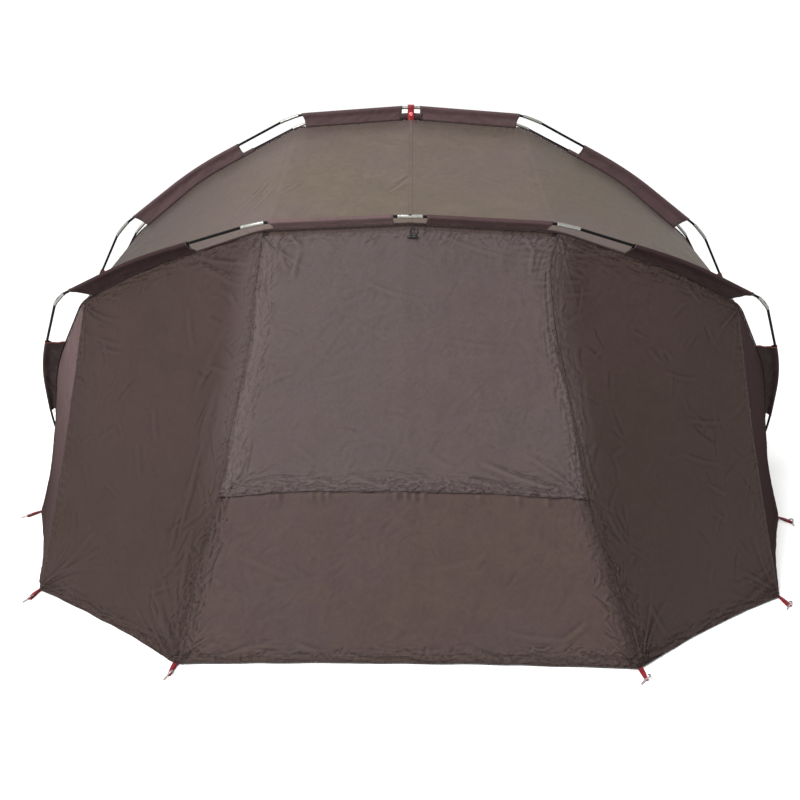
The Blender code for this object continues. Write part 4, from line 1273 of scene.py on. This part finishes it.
roofLook = {
    "bumps": ((0.30, 0.0040), (0.12, 0.0013)), "crumple": ((0.070, 0.0010), (0.030, 0.0005)),
    "relief": [(puckers, "low", 23, 0.030, 0.060, 0.0026, 0.3),
               (puckers, "high", 24, 0.030, 0.055, 0.0026, 0.3),
               (puckers, "left", 24, 0.030, 0.04, 0.0026, 0.3),
               (puckers, "right", 25, 0.030, 0.04, 0.0026, 0.3)],
    "folds": {"roofFront": [(-0.609, 1.307, -0.526, 1.408, 1.8, 10), (-0.56, 1.30, -0.50, 1.38, 2.0, 9),
                            (-0.58, 1.35, -0.55, 1.38, -1.4, 8), (-0.54, 1.34, -0.52, 1.39, 1.4, 8),
                            (-0.077, 1.370, -0.012, 1.408, 2.6, 8), (-0.05, 1.40, 0.0, 1.43, -2.0, 8),
                            (-0.46, 1.36, -0.40, 1.40, 1.4, 8), (0.25, 1.42, 0.36, 1.38, 1.0, 9),
                            (0.60, 1.38, 0.72, 1.33, 1.1, 9)]},
    "slack": {"roofFront": 0.010, "roofBack": 0.010, "roofCrown": 0.003},
    "step": {"roofFront": 0.0040, "roofBack": 0.0050, "roofCrown": 0.0042},
    "seed": {"roofFront": 600, "roofBack": 640, "roofCrown": 680},
    "shade": {"roofFront": 0.42, "roofBack": 0.42, "roofCrown": 0.0},
    "crease": 0.0011, "creaseWide": 0.009,
    # The middle seam: its two rows of stitches, and its tape as places across and heights
    "stitches": (-0.0055, 0.0055), "stitchLift": 0.0006,
    "tape": ((-0.008, -0.001), (-0.008, 0.0002), (-0.0072, 0.0005), (-0.001, 0.0006), (0.0, 0.0001),
             (0.001, 0.0006), (0.0072, 0.0005), (0.008, 0.0002), (0.008, -0.001)),
}


def makeRoof(name, rib, other):
    look, seed = roofLook, roofLook["seed"][name]
    left, right = (straight(onRib(rib, "seam", [at])[0], onRib(other, "seam", [at])[0])
                   for at in (-3.0, 3.0))
    g = makeGrid(ribSpan(rib, -3.0, 3.0), ribSpan(other, -3.0, 3.0), left, right, look["step"][name])
    h = sagging(g, {**look, "slack": look["slack"][name]}, seed) + crumples(g, look, seed) * pinned(g)
    h = h + creases(g, look["folds"].get(name, ())) * pinned(g, 0.006)
    along = g["left"] - (g["left"] + g["right"]) / 2
    for elbow in (-tent["stations"][1], tent["stations"][1]):
        off = (along - elbow) / look["creaseWide"]
        h = h + look["crease"] * np.exp(-off ** 2) * ease(g["low"] / 0.02) * ease(g["high"] / 0.02)
    # Painted shade towards the inner rib and the ends
    shade = look["shade"][name]
    tone = ((1 - shade * (1 - ease(g["high"] / 0.20))) * (1 - 1.6 * shade * (1 - ease(g["left"] / 0.85)))
            * (1 - shade * 0.15 * (1 - ease(g["right"] / 0.40))))
    piece = addSheet(name, g, worked(g, h, look["relief"], seed), "roof", tone=tone)

    def middleLine(shift, lift, count):
        u, v = np.full(count, 0.5 + shift / float(g["left"][-1].mean())), np.linspace(0, 1, count)
        return bilinear(g["made"], u, v) + bilinear(g["madeNormal"], u, v) * lift

    for shift in look["stitches"]:
        note(threads, "roofMiddle", middleLine(shift, look["stitchLift"], 90))
    note(tapes, "roofMiddle", np.stack([middleLine(shift, lift, 70) for shift, lift in look["tape"]], 1))
    return piece, g


# Sleeves: doubled cloth from the seam up and round the pole, cut away where the pole shows

sleeveLook = {
    "radius": 0.0072, "gap": 0.0010, "wall": 0.0007, "step": {"front": 0.0085, "midFront": 0.0085},
    "backStep": 0.014, "shape": 9, "round": 7, "flare": 0.022,
    # Each stretch by its places, with how far each end leans and hollows, in metres along the pole
    "stretches": [((0.10, 0.93), (0.004, 0.004), (0.000, 0.005)),
                  ((1.54, 2.83), (0.010, 0.003), (0.008, 0.003)),
                  ((3.64, 4.80), (0.004, 0.004), (0.004, 0.004))],
    "openings": [(-0.10, 0.10), (0.93, 1.54), (2.83, 3.64), (4.80, 5.5)],
    "endFolds": 0.0034, "wrinkle": 0.0024,
    # How light each crown stretch is painted, as painted light and shade for how light falls on each side; the
    # lower stretches are painted darker, as painted shade
    "tone": {("front", "left"): 1.0, ("front", "right"): 0.38,
             ("midFront", "left"): 0.60, ("midFront", "right"): 0.72},
    "lowTone": {("front", 1): 0.0, ("front", 2): 0.0, ("midFront", 1): 0.62, ("midFront", 2): 0.15},
    # The inner ribs' gap at the crown is shorter, and a strip of cloth closes its lower part
    "crownStart": 0.066, "crownStrip": 0.027,
    "strip": 0.006, "stripStep": 0.012, "stripTone": 0.3,  # what is left of the sleeve where the pole shows
    "stitches": (0.0055, 0.0018), "stitchEnd": 0.006,      # height over the seam and place beside it
}


def acrossRib(rib):
    lean = ribs[rib]["lean"]
    return np.array((0.0, math.cos(lean), math.sin(lean)))


def risers(rib, at):
    # The seam's points, the ways from them to the pole, and how far it is
    pole, seam = onRib(rib, "pole", at), onRib(rib, "seam", at)
    return seam, unit(pole - seam), np.linalg.norm(pole - seam, axis=1)


def sleeveShape():
    # The cloth's way up one side of the seam, round the pole and down: height, turn round the pole, side
    rise = np.linspace(0, 1, sleeveLook["shape"])
    turns = np.linspace(0.25, math.pi - 0.25, sleeveLook["round"])
    return [(t, 0, 1) for t in rise] + [(1.0, a, 0) for a in turns] + [(t, 0, -1) for t in rise[::-1]]


def sleeveRings(rib, span, fromEnd, toEnd, side, seed):
    look, across = sleeveLook, acrossRib(rib)
    first, last = placeLength(span)
    count = max(int((last - first) / look["step"].get(rib, look["backStep"])), 3) + 1
    gap, r = look["gap"], look["radius"]
    rows, walls, cloth = [], [], []
    for k, (tall, turn, way) in enumerate(sleeveShape()):
        begin, finish = (lean * tall + hollow * 4 * tall * (1 - tall) for lean, hollow in (fromEnd, toEnd))
        s = first + begin + (last - first - begin - finish) * np.linspace(0, 1, count)
        seam, up, reach = risers(rib, side * placeAt(s))
        if way:
            rise = reach * tall
            flat = way * (gap + (r - gap) * ease((rise - (reach - look["flare"])) / look["flare"]))
            out = across * way
            belly = np.sin(math.pi * np.clip(rise / reach, 0, 1)) ** 0.8
        else:
            flat, rise = r * math.cos(turn), reach + r * math.sin(turn)
            out = across * math.cos(turn) + up * math.sin(turn)
            belly = np.zeros(count)
        folds = np.zeros(count)
        for off in (np.abs(s - first), np.abs(s - last)):
            phase = off / 0.019 + 0.25 * ripple(off / 0.02, tall * 2, seed)
            folds += np.cos(math.tau * phase) * np.exp(-off / 0.030)
        wave = 2.2 * ripple(s / 0.10, tall * 1.2, seed)
        wave += ripple((s + rise * 1.2) / 0.035, tall * 2.5, seed + 1)
        fine = ripple((s + 1.5 * rise) / 0.06, tall * 1.5, seed + 2)
        crease = (1 - np.minimum(np.abs(fine) * 4, 1)) ** 2
        push = belly * (look["endFolds"] * folds + look["wrinkle"] * (wave + 0.8 * crease))
        rows.append(seam + up * rise[:, None] + across * (flat + push)[:, None])
        walls.append(rows[-1] - out * look["wall"])
        cloth.append(np.stack([s, np.full(count, tall * 0.05 + k * 0.002), rise], 1))
    return np.stack(rows + walls[::-1], 1), np.stack(cloth + cloth[::-1], 1)


def makeSleeve(rib):
    look, across = sleeveLook, acrossRib(rib)
    twin = {"back": "front", "midBack": "midFront"}.get(rib, rib)
    sets, places, tones = [], [], []

    def hold(rings, cloth, tone):
        sets.append(rings)
        places.append(cloth.reshape(-1, 3))
        tones.append(np.full(len(places[-1]), tone))

    for number, (span, fromEnd, toEnd) in enumerate(look["stretches"]):
        if number == 0 and twin == "midFront":
            span = (look["crownStart"], span[1])
        for label, side in sides:
            seed = 500 + 40 * number + 7 * side + int(ribs[rib]["lean"] * 10)
            rings, cloth = sleeveRings(rib, span, fromEnd, toEnd, side, seed)
            hold(rings, cloth, look["lowTone"][twin, number] if number else look["tone"][twin, label])
            if number:
                half = len(rings[0]) // 2
                note(sleeveEnds, "lowEdges" if number == 2 else "edges", rings[0][:half])
                note(sleeveEnds, "edges", rings[-1][:half])
    for start, stop in look["openings"]:
        first, last = placeLength((start, stop))
        along = placeAt(np.linspace(first, last, max(int((last - first) / look["stripStep"]), 3)))
        tall = look["crownStrip"] if start < 0 and twin == "midFront" else look["strip"]
        outline = ((0.0003, -0.0017), (0.0003, 0.0017), (tall - 0.001, 0.0015), (tall, 0.0),
                   (tall - 0.001, -0.0015))
        for side in (-1, 1) if start > 0 else (1,):
            seam, up, _ = risers(rib, side * along)
            ring = np.stack([seam + up * h + across * w for h, w in outline], 1)
            hold(ring, np.tile((0.01, 0.01, 0.002), (len(along) * len(outline), 1)), look["stripTone"])
    piece = addLofts(rib + "Sleeve", sets, "sleeve",
                     {"clothPlace": np.concatenate(places), "tone": np.concatenate(tones)})
    high, beside = look["stitches"]
    for span, _, _ in look["stretches"]:
        first, last = placeLength(span)
        along = placeAt(np.linspace(first + look["stitchEnd"], last - look["stitchEnd"], 80))
        for side in (-1, 1):
            seam, up, _ = risers(rib, side * along)
            for way in (-1, 1):
                note(threads, "sleeves", seam + up * high + across * way * beside)
    return piece


# Poles: one glass-fibre rod for each rib, joined by plated ferrules

poleLook = {"radius": 0.0047, "sides": 14, "ferruleRadius": 0.0061, "ferruleLong": 0.080,
            # The ferrules' places on each side with a shift along the pole; one more is in the middle
            "ferrules": ((1, 0.022), (3, 0.0)),
            # From a ferrule's end inwards: the distance, and the radius where the tube's own is 5.75
            "ferruleEnd": [(-0.00005, 4.4), (0.0, 5.2), (0.0006, 5.6), (0.0014, 5.75), (0.009, 5.75),
                           (0.0105, 5.45), (0.012, 5.75)]}


def ringsAround(path, radii, count):
    path = np.asarray(path, float)
    ahead = unit(np.gradient(path, axis=0))
    hint = np.array((0.0, 1.0, 0.0)) if abs(ahead[:, 1]).max() < 0.8 else np.array((1.0, 0.0, 0.0))
    x = unit(np.cross(ahead, hint))
    y = np.cross(ahead, x)
    a = np.linspace(0, math.tau, count, endpoint=False)
    return (path[:, None] + np.asarray(radii)[:, None, None]
            * (x[:, None] * np.cos(a)[None, :, None] + y[:, None] * np.sin(a)[None, :, None]))


def makePole(rib):
    look = poleLook
    places = np.concatenate([ribs[rib]["pole"][0], np.linspace(0, 6, 25)])
    places = np.unique(np.round(np.concatenate([-places, places]), 4))
    path = onRib(rib, "pole", places)
    pole = alongPaths(rib + "Pole", [path], "rod", {"Radius": look["radius"], "Sides": look["sides"]}, "rod")
    lengths = np.concatenate([[0], np.cumsum(np.linalg.norm(np.diff(path, axis=0), axis=1))])
    inset, radii = np.array(look["ferruleEnd"]).T
    off = np.concatenate([inset - look["ferruleLong"] / 2, (look["ferruleLong"] / 2 - inset)[::-1]])
    radii = np.concatenate([radii, radii[::-1]]) / radii.max() * look["ferruleRadius"]
    spots = [(side * place, side * shift) for side in (-1, 1) for place, shift in look["ferrules"]]
    sets = []
    for place, shift in spots + [(0, 0.0)]:
        spot = np.interp(place, places, lengths) + shift
        at = np.stack([np.interp(spot + off, lengths, path[:, k]) for k in range(3)], 1)
        sets.append(ringsAround(at, radii, 16))
    return pole, addLofts(rib + "Ferrules", sets, "ferrule")


# Peg loops: a webbing loop sewn to each hem corner, with the hooked peg that holds it

loopLook = {
    "long": 0.056, "wide": 0.016, "thick": 0.0016, "tuck": 0.006, "bend": 0.004, "edge": 0.93,
    "widths": {"door": (1.0, 0.62), "corner": (0.55, 1.05), "side": (0.55, 1.0)},  # share of it at hem and peg
    "turnDeg": {"door": 5.0, "corner": 12.0, "side": 40.0},
    "clear": {"door": 0.0003, "corner": 0.006, "side": 0.007},
    # A bent wire: the hook's tip, over the loop's end, then the shaft that lies away from it. Each point is
    # beside, away and up in millimetres, and the left pegs are turned less
    "pegRadius": 0.0026, "pegEnds": (0.6, 0.9, 0.45), "pegTurn": {-1: 0.35, 1: 1.0},
    "peg": ((12, -15, 6), (14, -9, 11), (13, -2, 12.5), (9, 3, 11.5), (4, 5, 10), (-1, 6, 8), (-6, 9, 6),
            (-12, 14, 4), (-18, 20, 3.4), (-24, 25, 3.2)),
}


def bandRings(path, axes, widths, thick, edge):
    # A flat band along a path in a plane, given by a start, the plane's two directions and the way across
    start, first, second, beside = axes
    outline = ((-1, -0.5), (-edge, -1), (edge, -1), (1, -0.5), (1, 0.5), (edge, 1), (-edge, 1), (-1, 0.5))
    rings = []
    for (a, b), (da, db), wide in zip(path, unit(np.gradient(path, axis=0)), widths):
        centre, normal = start + first * a + second * b, second * da - first * db
        rings.append([centre + beside * u * wide / 2 + normal * v * thick / 2 for u, v in outline])
    return np.array(rings)


def makeLoop(name, end, spot, side):
    look, turn = loopLook, math.radians(loopLook["turnDeg"][spot])
    up = np.array((0.0, 0.0, 1.0))
    away = np.array((side * math.sin(turn), ends[end] * math.cos(turn), 0.0))
    beside = np.cross(up, away)
    start = hemPoint(end, spot, side) * (1, 1, 0) - away * look["tuck"]
    reach = look["long"] + look["tuck"] + look["clear"][spot] - look["bend"]
    # The upper and lower run of one folded band, which changes its width on the way to the peg
    atHem, atPeg = look["widths"][spot]
    t = np.linspace(0, 1, 14)
    a = np.linspace(0, math.pi, 9)[1:-1]
    upper = np.stack([reach * t, 0.0072 - 0.0022 * t + 0.0030 * np.sin(math.pi * t)], 1)
    fold = np.stack([reach + 0.0035 * np.sin(a), 0.0030 + 0.0024 * np.cos(a)], 1)
    lower = np.stack([reach * t, 0.0012 + 0.0030 * (1 - t)], 1)[::-1]
    run = atHem + (atPeg - atHem) * ease(t)
    widths = look["wide"] * np.concatenate([run, np.full(len(a), atPeg), run[::-1]])
    rings = bandRings(np.concatenate([upper, fold, lower]), (start, away, up, beside), widths, look["thick"],
                      look["edge"])
    web = addLofts(name + "Web", [rings], "webbing")
    centre = start + away * (reach - look["bend"])
    hook = []
    for b, o, high in look["peg"]:
        turned = b * look["pegTurn"][side]
        hook.append(centre + (beside * turned + away * (o + 0.4 * (abs(b) - abs(turned))) + up * high) / 1000)
    radii = np.full(36, look["pegRadius"])
    radii[[0, -2, -1]] *= look["pegEnds"]
    peg = addLofts(name + "Peg", [ringsAround(smoothPath(hook, len(radii)), radii, 12)], "peg")
    return web, peg


# Crown straps: a red band over the pole at the top, pressed shut with a snap

strapLook = {
    "wide": 0.026, "thick": 0.0020, "edge": 0.95, "overPole": 0.0083,
    # The band's outer and inner run: place across, then height over the seam or under the pole's top
    "outer": [(-0.0036, 0.002), (-0.0038, 0.012)], "outerHigh": (-0.0062, -0.012),
    "innerHigh": (0.0064, -0.013), "inner": [(0.0050, 0.016), (0.0046, 0.002), (0.0056, -0.004)],
    "snapRadius": 0.0082, "snapUp": 0.022, "snapOut": 0.0060,
    # The snap's height over the band and the share of its radius there, from its rim to its dimple
    "snap": [(0.0, 1.0), (0.0010, 1.0), (0.0018, 0.93), (0.0022, 0.80), (0.0018, 0.62), (0.0019, 0.40),
             (0.0026, 0.30), (0.0028, 0.12)],
}


def makeStrap(end):
    look, rib = strapLook, "mid" + end.capitalize()
    lean = ribs[rib]["lean"]
    across = acrossRib(rib) * ends[end]
    along = np.array((0.0, -math.sin(lean), math.cos(lean)))
    beside = np.cross(across, along)
    foot = np.array((0, 0, tent["footHeight"]))
    top, seam = tent["innerPole"][0][1], tent["innerSeam"][0][1]
    r = look["overPole"]
    outline = [(a, seam + b) for a, b in look["outer"]]
    outline += [(look["outerHigh"][0], top + look["outerHigh"][1]), (-r, top - 0.002)]
    outline += [(-r * math.cos(a), top + r * math.sin(a)) for a in np.linspace(0.3, math.pi - 0.3, 9)]
    outline += [(r, top - 0.002), (look["innerHigh"][0], top + look["innerHigh"][1])]
    outline += [(a, seam + b) for a, b in look["inner"]]
    path = smoothPath(outline, 64)
    widths = [look["wide"]] * len(path)
    rings = bandRings(path, (foot, across, along, beside), widths, look["thick"], look["edge"])
    strap = addLofts(end + "Strap", [rings], "webbing")
    middle = foot + along * (seam + look["snapUp"]) + across * look["snapOut"]
    a = np.linspace(0, math.tau, 20, endpoint=False)
    circle = look["snapRadius"] * (np.outer(np.cos(a), beside) + np.outer(np.sin(a), along))
    rings = np.array([middle + across * up + share * circle for up, share in look["snap"]])
    return strap, addLofts(end + "StrapSnap", [rings], "snap")


# Toggle: a cord loop below the seam's middle with a bar in it, to hold the rolled flap

toggleLook = {
    "cord": 0.0017, "bar": 0.0044, "barHalf": 0.018, "barSides": 14, "cordSides": 8,
    "across": {"front": 0.012, "back": 0.0}, "up": 0.012, "onFlap": 0.48,
    # Points of the loop, of its tail and of the bar: across, up and out, in millimetres
    "loop": [(-3, 0, 1), (-10, -8, 5), (-11, -22, 6), (-4, -32, 7), (3, -33, 7), (10, -24, 6), (11, -10, 5),
             (4, 0, 1)],
    "tail": [(1, -30, 10), (4, -20, 11), (-3, -12, 9), (2, -2, 6)],
    "barPlace": (-34, 8),
    "barShape": (0.30, 0.72, 0.92, 1.0, 1.0, 0.86, 0.80, 0.86, 1.0, 1.0, 0.92, 0.72, 0.30),
}


def makeToggle(end, g):
    look, spot = toggleLook, np.array([toggleLook["onFlap"]])

    def onFlap(field, height):
        return bilinear(g[field], spot, np.array([height]))[0]

    top, out = onFlap("made", 0.995), onFlap("madeNormal", 0.98)
    up = unit(onFlap("base", 0.99) - onFlap("base", 0.9))
    start = np.array((look["across"][end], top[1], top[2])) + up * look["up"]

    def place(point):
        a, b, c = np.array(point) / 1000
        return start + np.array((a, 0.0, 0.0)) + up * b + out * c

    paths = [smoothPath([place(p) for p in look[part]], count) for part, count in (("loop", 40), ("tail", 16))]
    section = {"Radius": look["cord"], "Sides": look["cordSides"]}
    cord = alongPaths(end + "ToggleCord", paths, "rod", section, "cord")
    shape = np.array(look["barShape"])
    halfMm = look["barHalf"] * 1000
    line = [place((t, *look["barPlace"])) for t in np.linspace(-halfMm, halfMm, len(shape))]
    bar = addLofts(end + "ToggleBar", [ringsAround(line, shape * look["bar"], look["barSides"])], "moulded")
    return cord, bar


# Zip: tape and coil along the side of the flap that opens

zipLook = {"tape": ((-0.003, -0.0026), (-0.003, -0.0014), (0.006, -0.0010), (0.006, -0.0026)),
           "coil": (0.0030, -0.0004), "pitch": 0.0042, "tooth": 0.0030, "toothRadius": 0.0012}


def makeZip(end, g):
    p, n = edgeRow(g, "right", 0.0)
    outward = unit(p - edgeRow(g, "right", 0.004)[0])
    below = p[:, 2] < flapLook["zipTop"]
    p, n, outward = p[below], n[below], outward[below]
    rows = [p + outward * d + n * lift for d, lift in zipLook["tape"]]
    tape = addLofts(end + "ZipTape", [np.stack(rows, 1)], "wing")
    d, lift = zipLook["coil"]
    teeth = {"Pitch": zipLook["pitch"], "Long": zipLook["tooth"], "Radius": zipLook["toothRadius"]}
    coil = alongPaths(end + "ZipCoil", [p + outward * d + n * lift], "stitch", teeth, "thread")
    return tape, coil


# Feet: the moulded frame node gets softened edges

footLook = {"bevel": 0.0022, "segments": 3, "angleDeg": 50}


def makeFoot(label):
    work = bmesh.new()
    work.from_mesh(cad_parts["foot_" + label].data)
    bmesh.ops.remove_doubles(work, verts=work.verts[:], dist=1e-5)
    bmesh.ops.dissolve_limit(work, angle_limit=0.02, verts=work.verts[:], edges=work.edges[:])
    data = bpy.data.meshes.new("foot" + label.capitalize())
    work.to_mesh(data)
    work.free()
    data.materials.clear()
    data.materials.append(finishes["moulded"])
    piece = bpy.data.objects.new(data.name, data)
    scene.collection.objects.link(piece)
    step = piece.modifiers.new("edges", "BEVEL")
    step.width = footLook["bevel"]
    step.segments = footLook["segments"]
    step.limit_method = "ANGLE"
    step.angle_limit = math.radians(footLook["angleDeg"])
    step.use_clamp_overlap = True
    mesh = meshOf(piece, data.name)
    piece.modifiers.clear()
    piece.data = mesh
    return piece


# Building

makeCamera()
for end in ends:
    panel, panelGrid = makePanel(end)
    keepSheet(panel, panelGrid, "front_cloth", end + "_panel")
    flap, flapGrid = makeFlap(end, panelGrid)
    keepSheet(flap, flapGrid, "front_cloth", end + "_flap")
    cord, bar = makeToggle(end, flapGrid)
    keep(cord, ["toggle_" + end])
    keep(bar)
    for item in makeZip(end, flapGrid):
        keep(item)
    for label, side in sides:
        keepSheet(*makeWing(end, label, side), "side_cloth", f"wing_{end}_{label}")
        keepSheet(*makeSide(end, label, side), "side_cloth", f"side_{end}_{label}")
    print(end, "panels: made")

for end, rib, inner in (("front", "front", "midFront"), ("back", "back", "midBack")):
    keepSheet(*makeRoof("roof" + end.capitalize(), rib, inner), "roof_cloth", "roof_" + end)
    for label, side in sides:
        name = f"gore{end.capitalize()}{label.capitalize()}"
        gore = makeGore(name, rib, inner, side, goreLook["seed"][end] + side * 20, goreLook["step"][end])
        keepSheet(*gore, "side_cloth", f"gore_{end}_{label}")
keepSheet(*makeRoof("roofCrown", "midFront", "midBack"), "roof_cloth", "roof_crown")
for label, side in sides:
    gore = makeGore(f"goreMid{label.capitalize()}", "midFront", "midBack", side,
                    goreLook["seed"]["mid"] + side * 10, goreLook["step"]["mid"],
                    {**goreLook, "slack": goreLook["midSlack"]})
    keepSheet(*gore, "side_cloth", f"gore_mid_{label}")
print("roof: made")

for rib in tent["lean"]:
    pole, ferrules = makePole(rib)
    keep(pole, ["pole_" + cadRib[rib]])
    keep(ferrules)
    keepSheet(makeSleeve(rib), None, "sleeve_cloth", "sleeve_" + cadRib[rib])
print("poles and sleeves: made")

for end in ends:
    strap, snap = makeStrap(end)
    keep(strap, ["crown_strap_" + end])
    keep(snap)
for label, side in sides:
    keep(makeFoot(label), ["foot_" + label])
    for end in ends:
        for spot in tent["pegs"]:
            web, peg = makeLoop(f"{spot}Loop{end.capitalize()}{label.capitalize()}", end, spot, side)
            keep(web, [f"peg_loop_{spot}_{end}_{label}"])
            keep(peg)
print("fittings: made")

# Each group of trim: the sheet that it is sewn to, the tape's finish, and the tape's slot
trimOf = {"front": ("frontPanel", "front", "front_cloth"), "frontFlap": ("frontFlap", "flap", "front_cloth"),
          "back": ("backPanel", "front", "front_cloth"), "backFlap": ("backFlap", "flap", "front_cloth"),
          "frontWings": ("frontWingLeft", "wing", "side_cloth"),
          "backWings": ("backWingLeft", "wing", "side_cloth"),
          "roof": ("goreFrontLeft", "wing", "side_cloth"), "roofMiddle": ("roofFront", "roof", "roof_cloth"),
          "sleeves": ("frontSleeve", "sleeve", "sleeve_cloth")}
threadLook = {"Pitch": 0.0085, "Long": 0.0058, "Radius": 0.0005}
cutEdgeLook = {"Radius": 0.0013, "Sides": 6}
bindingLook = {"Radius": 0.0015, "Sides": 6}
together = {}
for group, sets in tapes.items():
    owner, look, slotName = trimOf[group]
    note(together, owner, keep(addLofts(group + "Tapes", sets, look)))
for group, lines in threads.items():
    piece = alongPaths(group + "Stitches", lines, "stitch", threadLook, "thread")
    note(together, trimOf[group][0], keep(piece))
for group, lines in sleeveEnds.items():
    piece = alongPaths("sleeve" + group[0].upper() + group[1:], lines, "rod", cutEdgeLook,
                       "rust" if group == "lowEdges" else "thread")
    note(together, "frontSleeve", keep(piece))
for group, lines in bindings.items():
    piece = alongPaths(group + "HemBinding", lines, "rod", bindingLook, "binding")
    note(together, trimOf[group][0], keep(piece))
print("trim: made")

# Studio: a pale floor, a white surround, and a broad lamp high on the left

studio = {"surround": 1.05, "keyWatts": 900.0, "keySize": 2.6, "keyPlace": (-2.8, -5.5, 5.6),
          "keyAim": (0, -0.6, 0.7), "floor": "#fbfbfa", "floorHalf": 30, "floorDrop": 0.001}


def makeStudio():
    half, low = studio["floorHalf"], -studio["floorDrop"]
    data = bpy.data.meshes.new("floor")
    data.from_pydata([(-half, -half, low), (half, -half, low), (half, half, low), (-half, half, low)], [],
                     [(0, 1, 2, 3)])
    floor = bpy.data.objects.new("floor", data)
    scene.collection.objects.link(floor)
    data.materials.append(newMaterial("paperMatte", {"Base Color": studio["floor"], "Roughness": 0.9})[0])
    world = bpy.data.worlds.new("surround")
    scene.world = world
    world.use_nodes = True
    feed(world.node_tree, world.node_tree.nodes["Background"], {0: "#ffffff", 1: studio["surround"]})
    lamp = bpy.data.lights.new("keyLamp", "AREA")
    lamp.energy = studio["keyWatts"]
    lamp.size = studio["keySize"]
    lamp.shape = "DISK"
    holder = bpy.data.objects.new("keyLamp", lamp)
    scene.collection.objects.link(holder)
    holder.location = studio["keyPlace"]
    holder.rotation_euler = (Vector(studio["keyAim"]) - holder.location).to_track_quat("-Z", "Y").to_euler()


makeStudio()
scene.view_settings.view_transform = "Standard"
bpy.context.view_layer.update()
triangles = {name: sum(len(p.vertices) - 2 for p in piece.data.polygons) for name, piece in pieces.items()}
largest = max(triangles, key=triangles.get)
print("triangles:", sum(triangles.values()), "largest:", triangles[largest], largest)
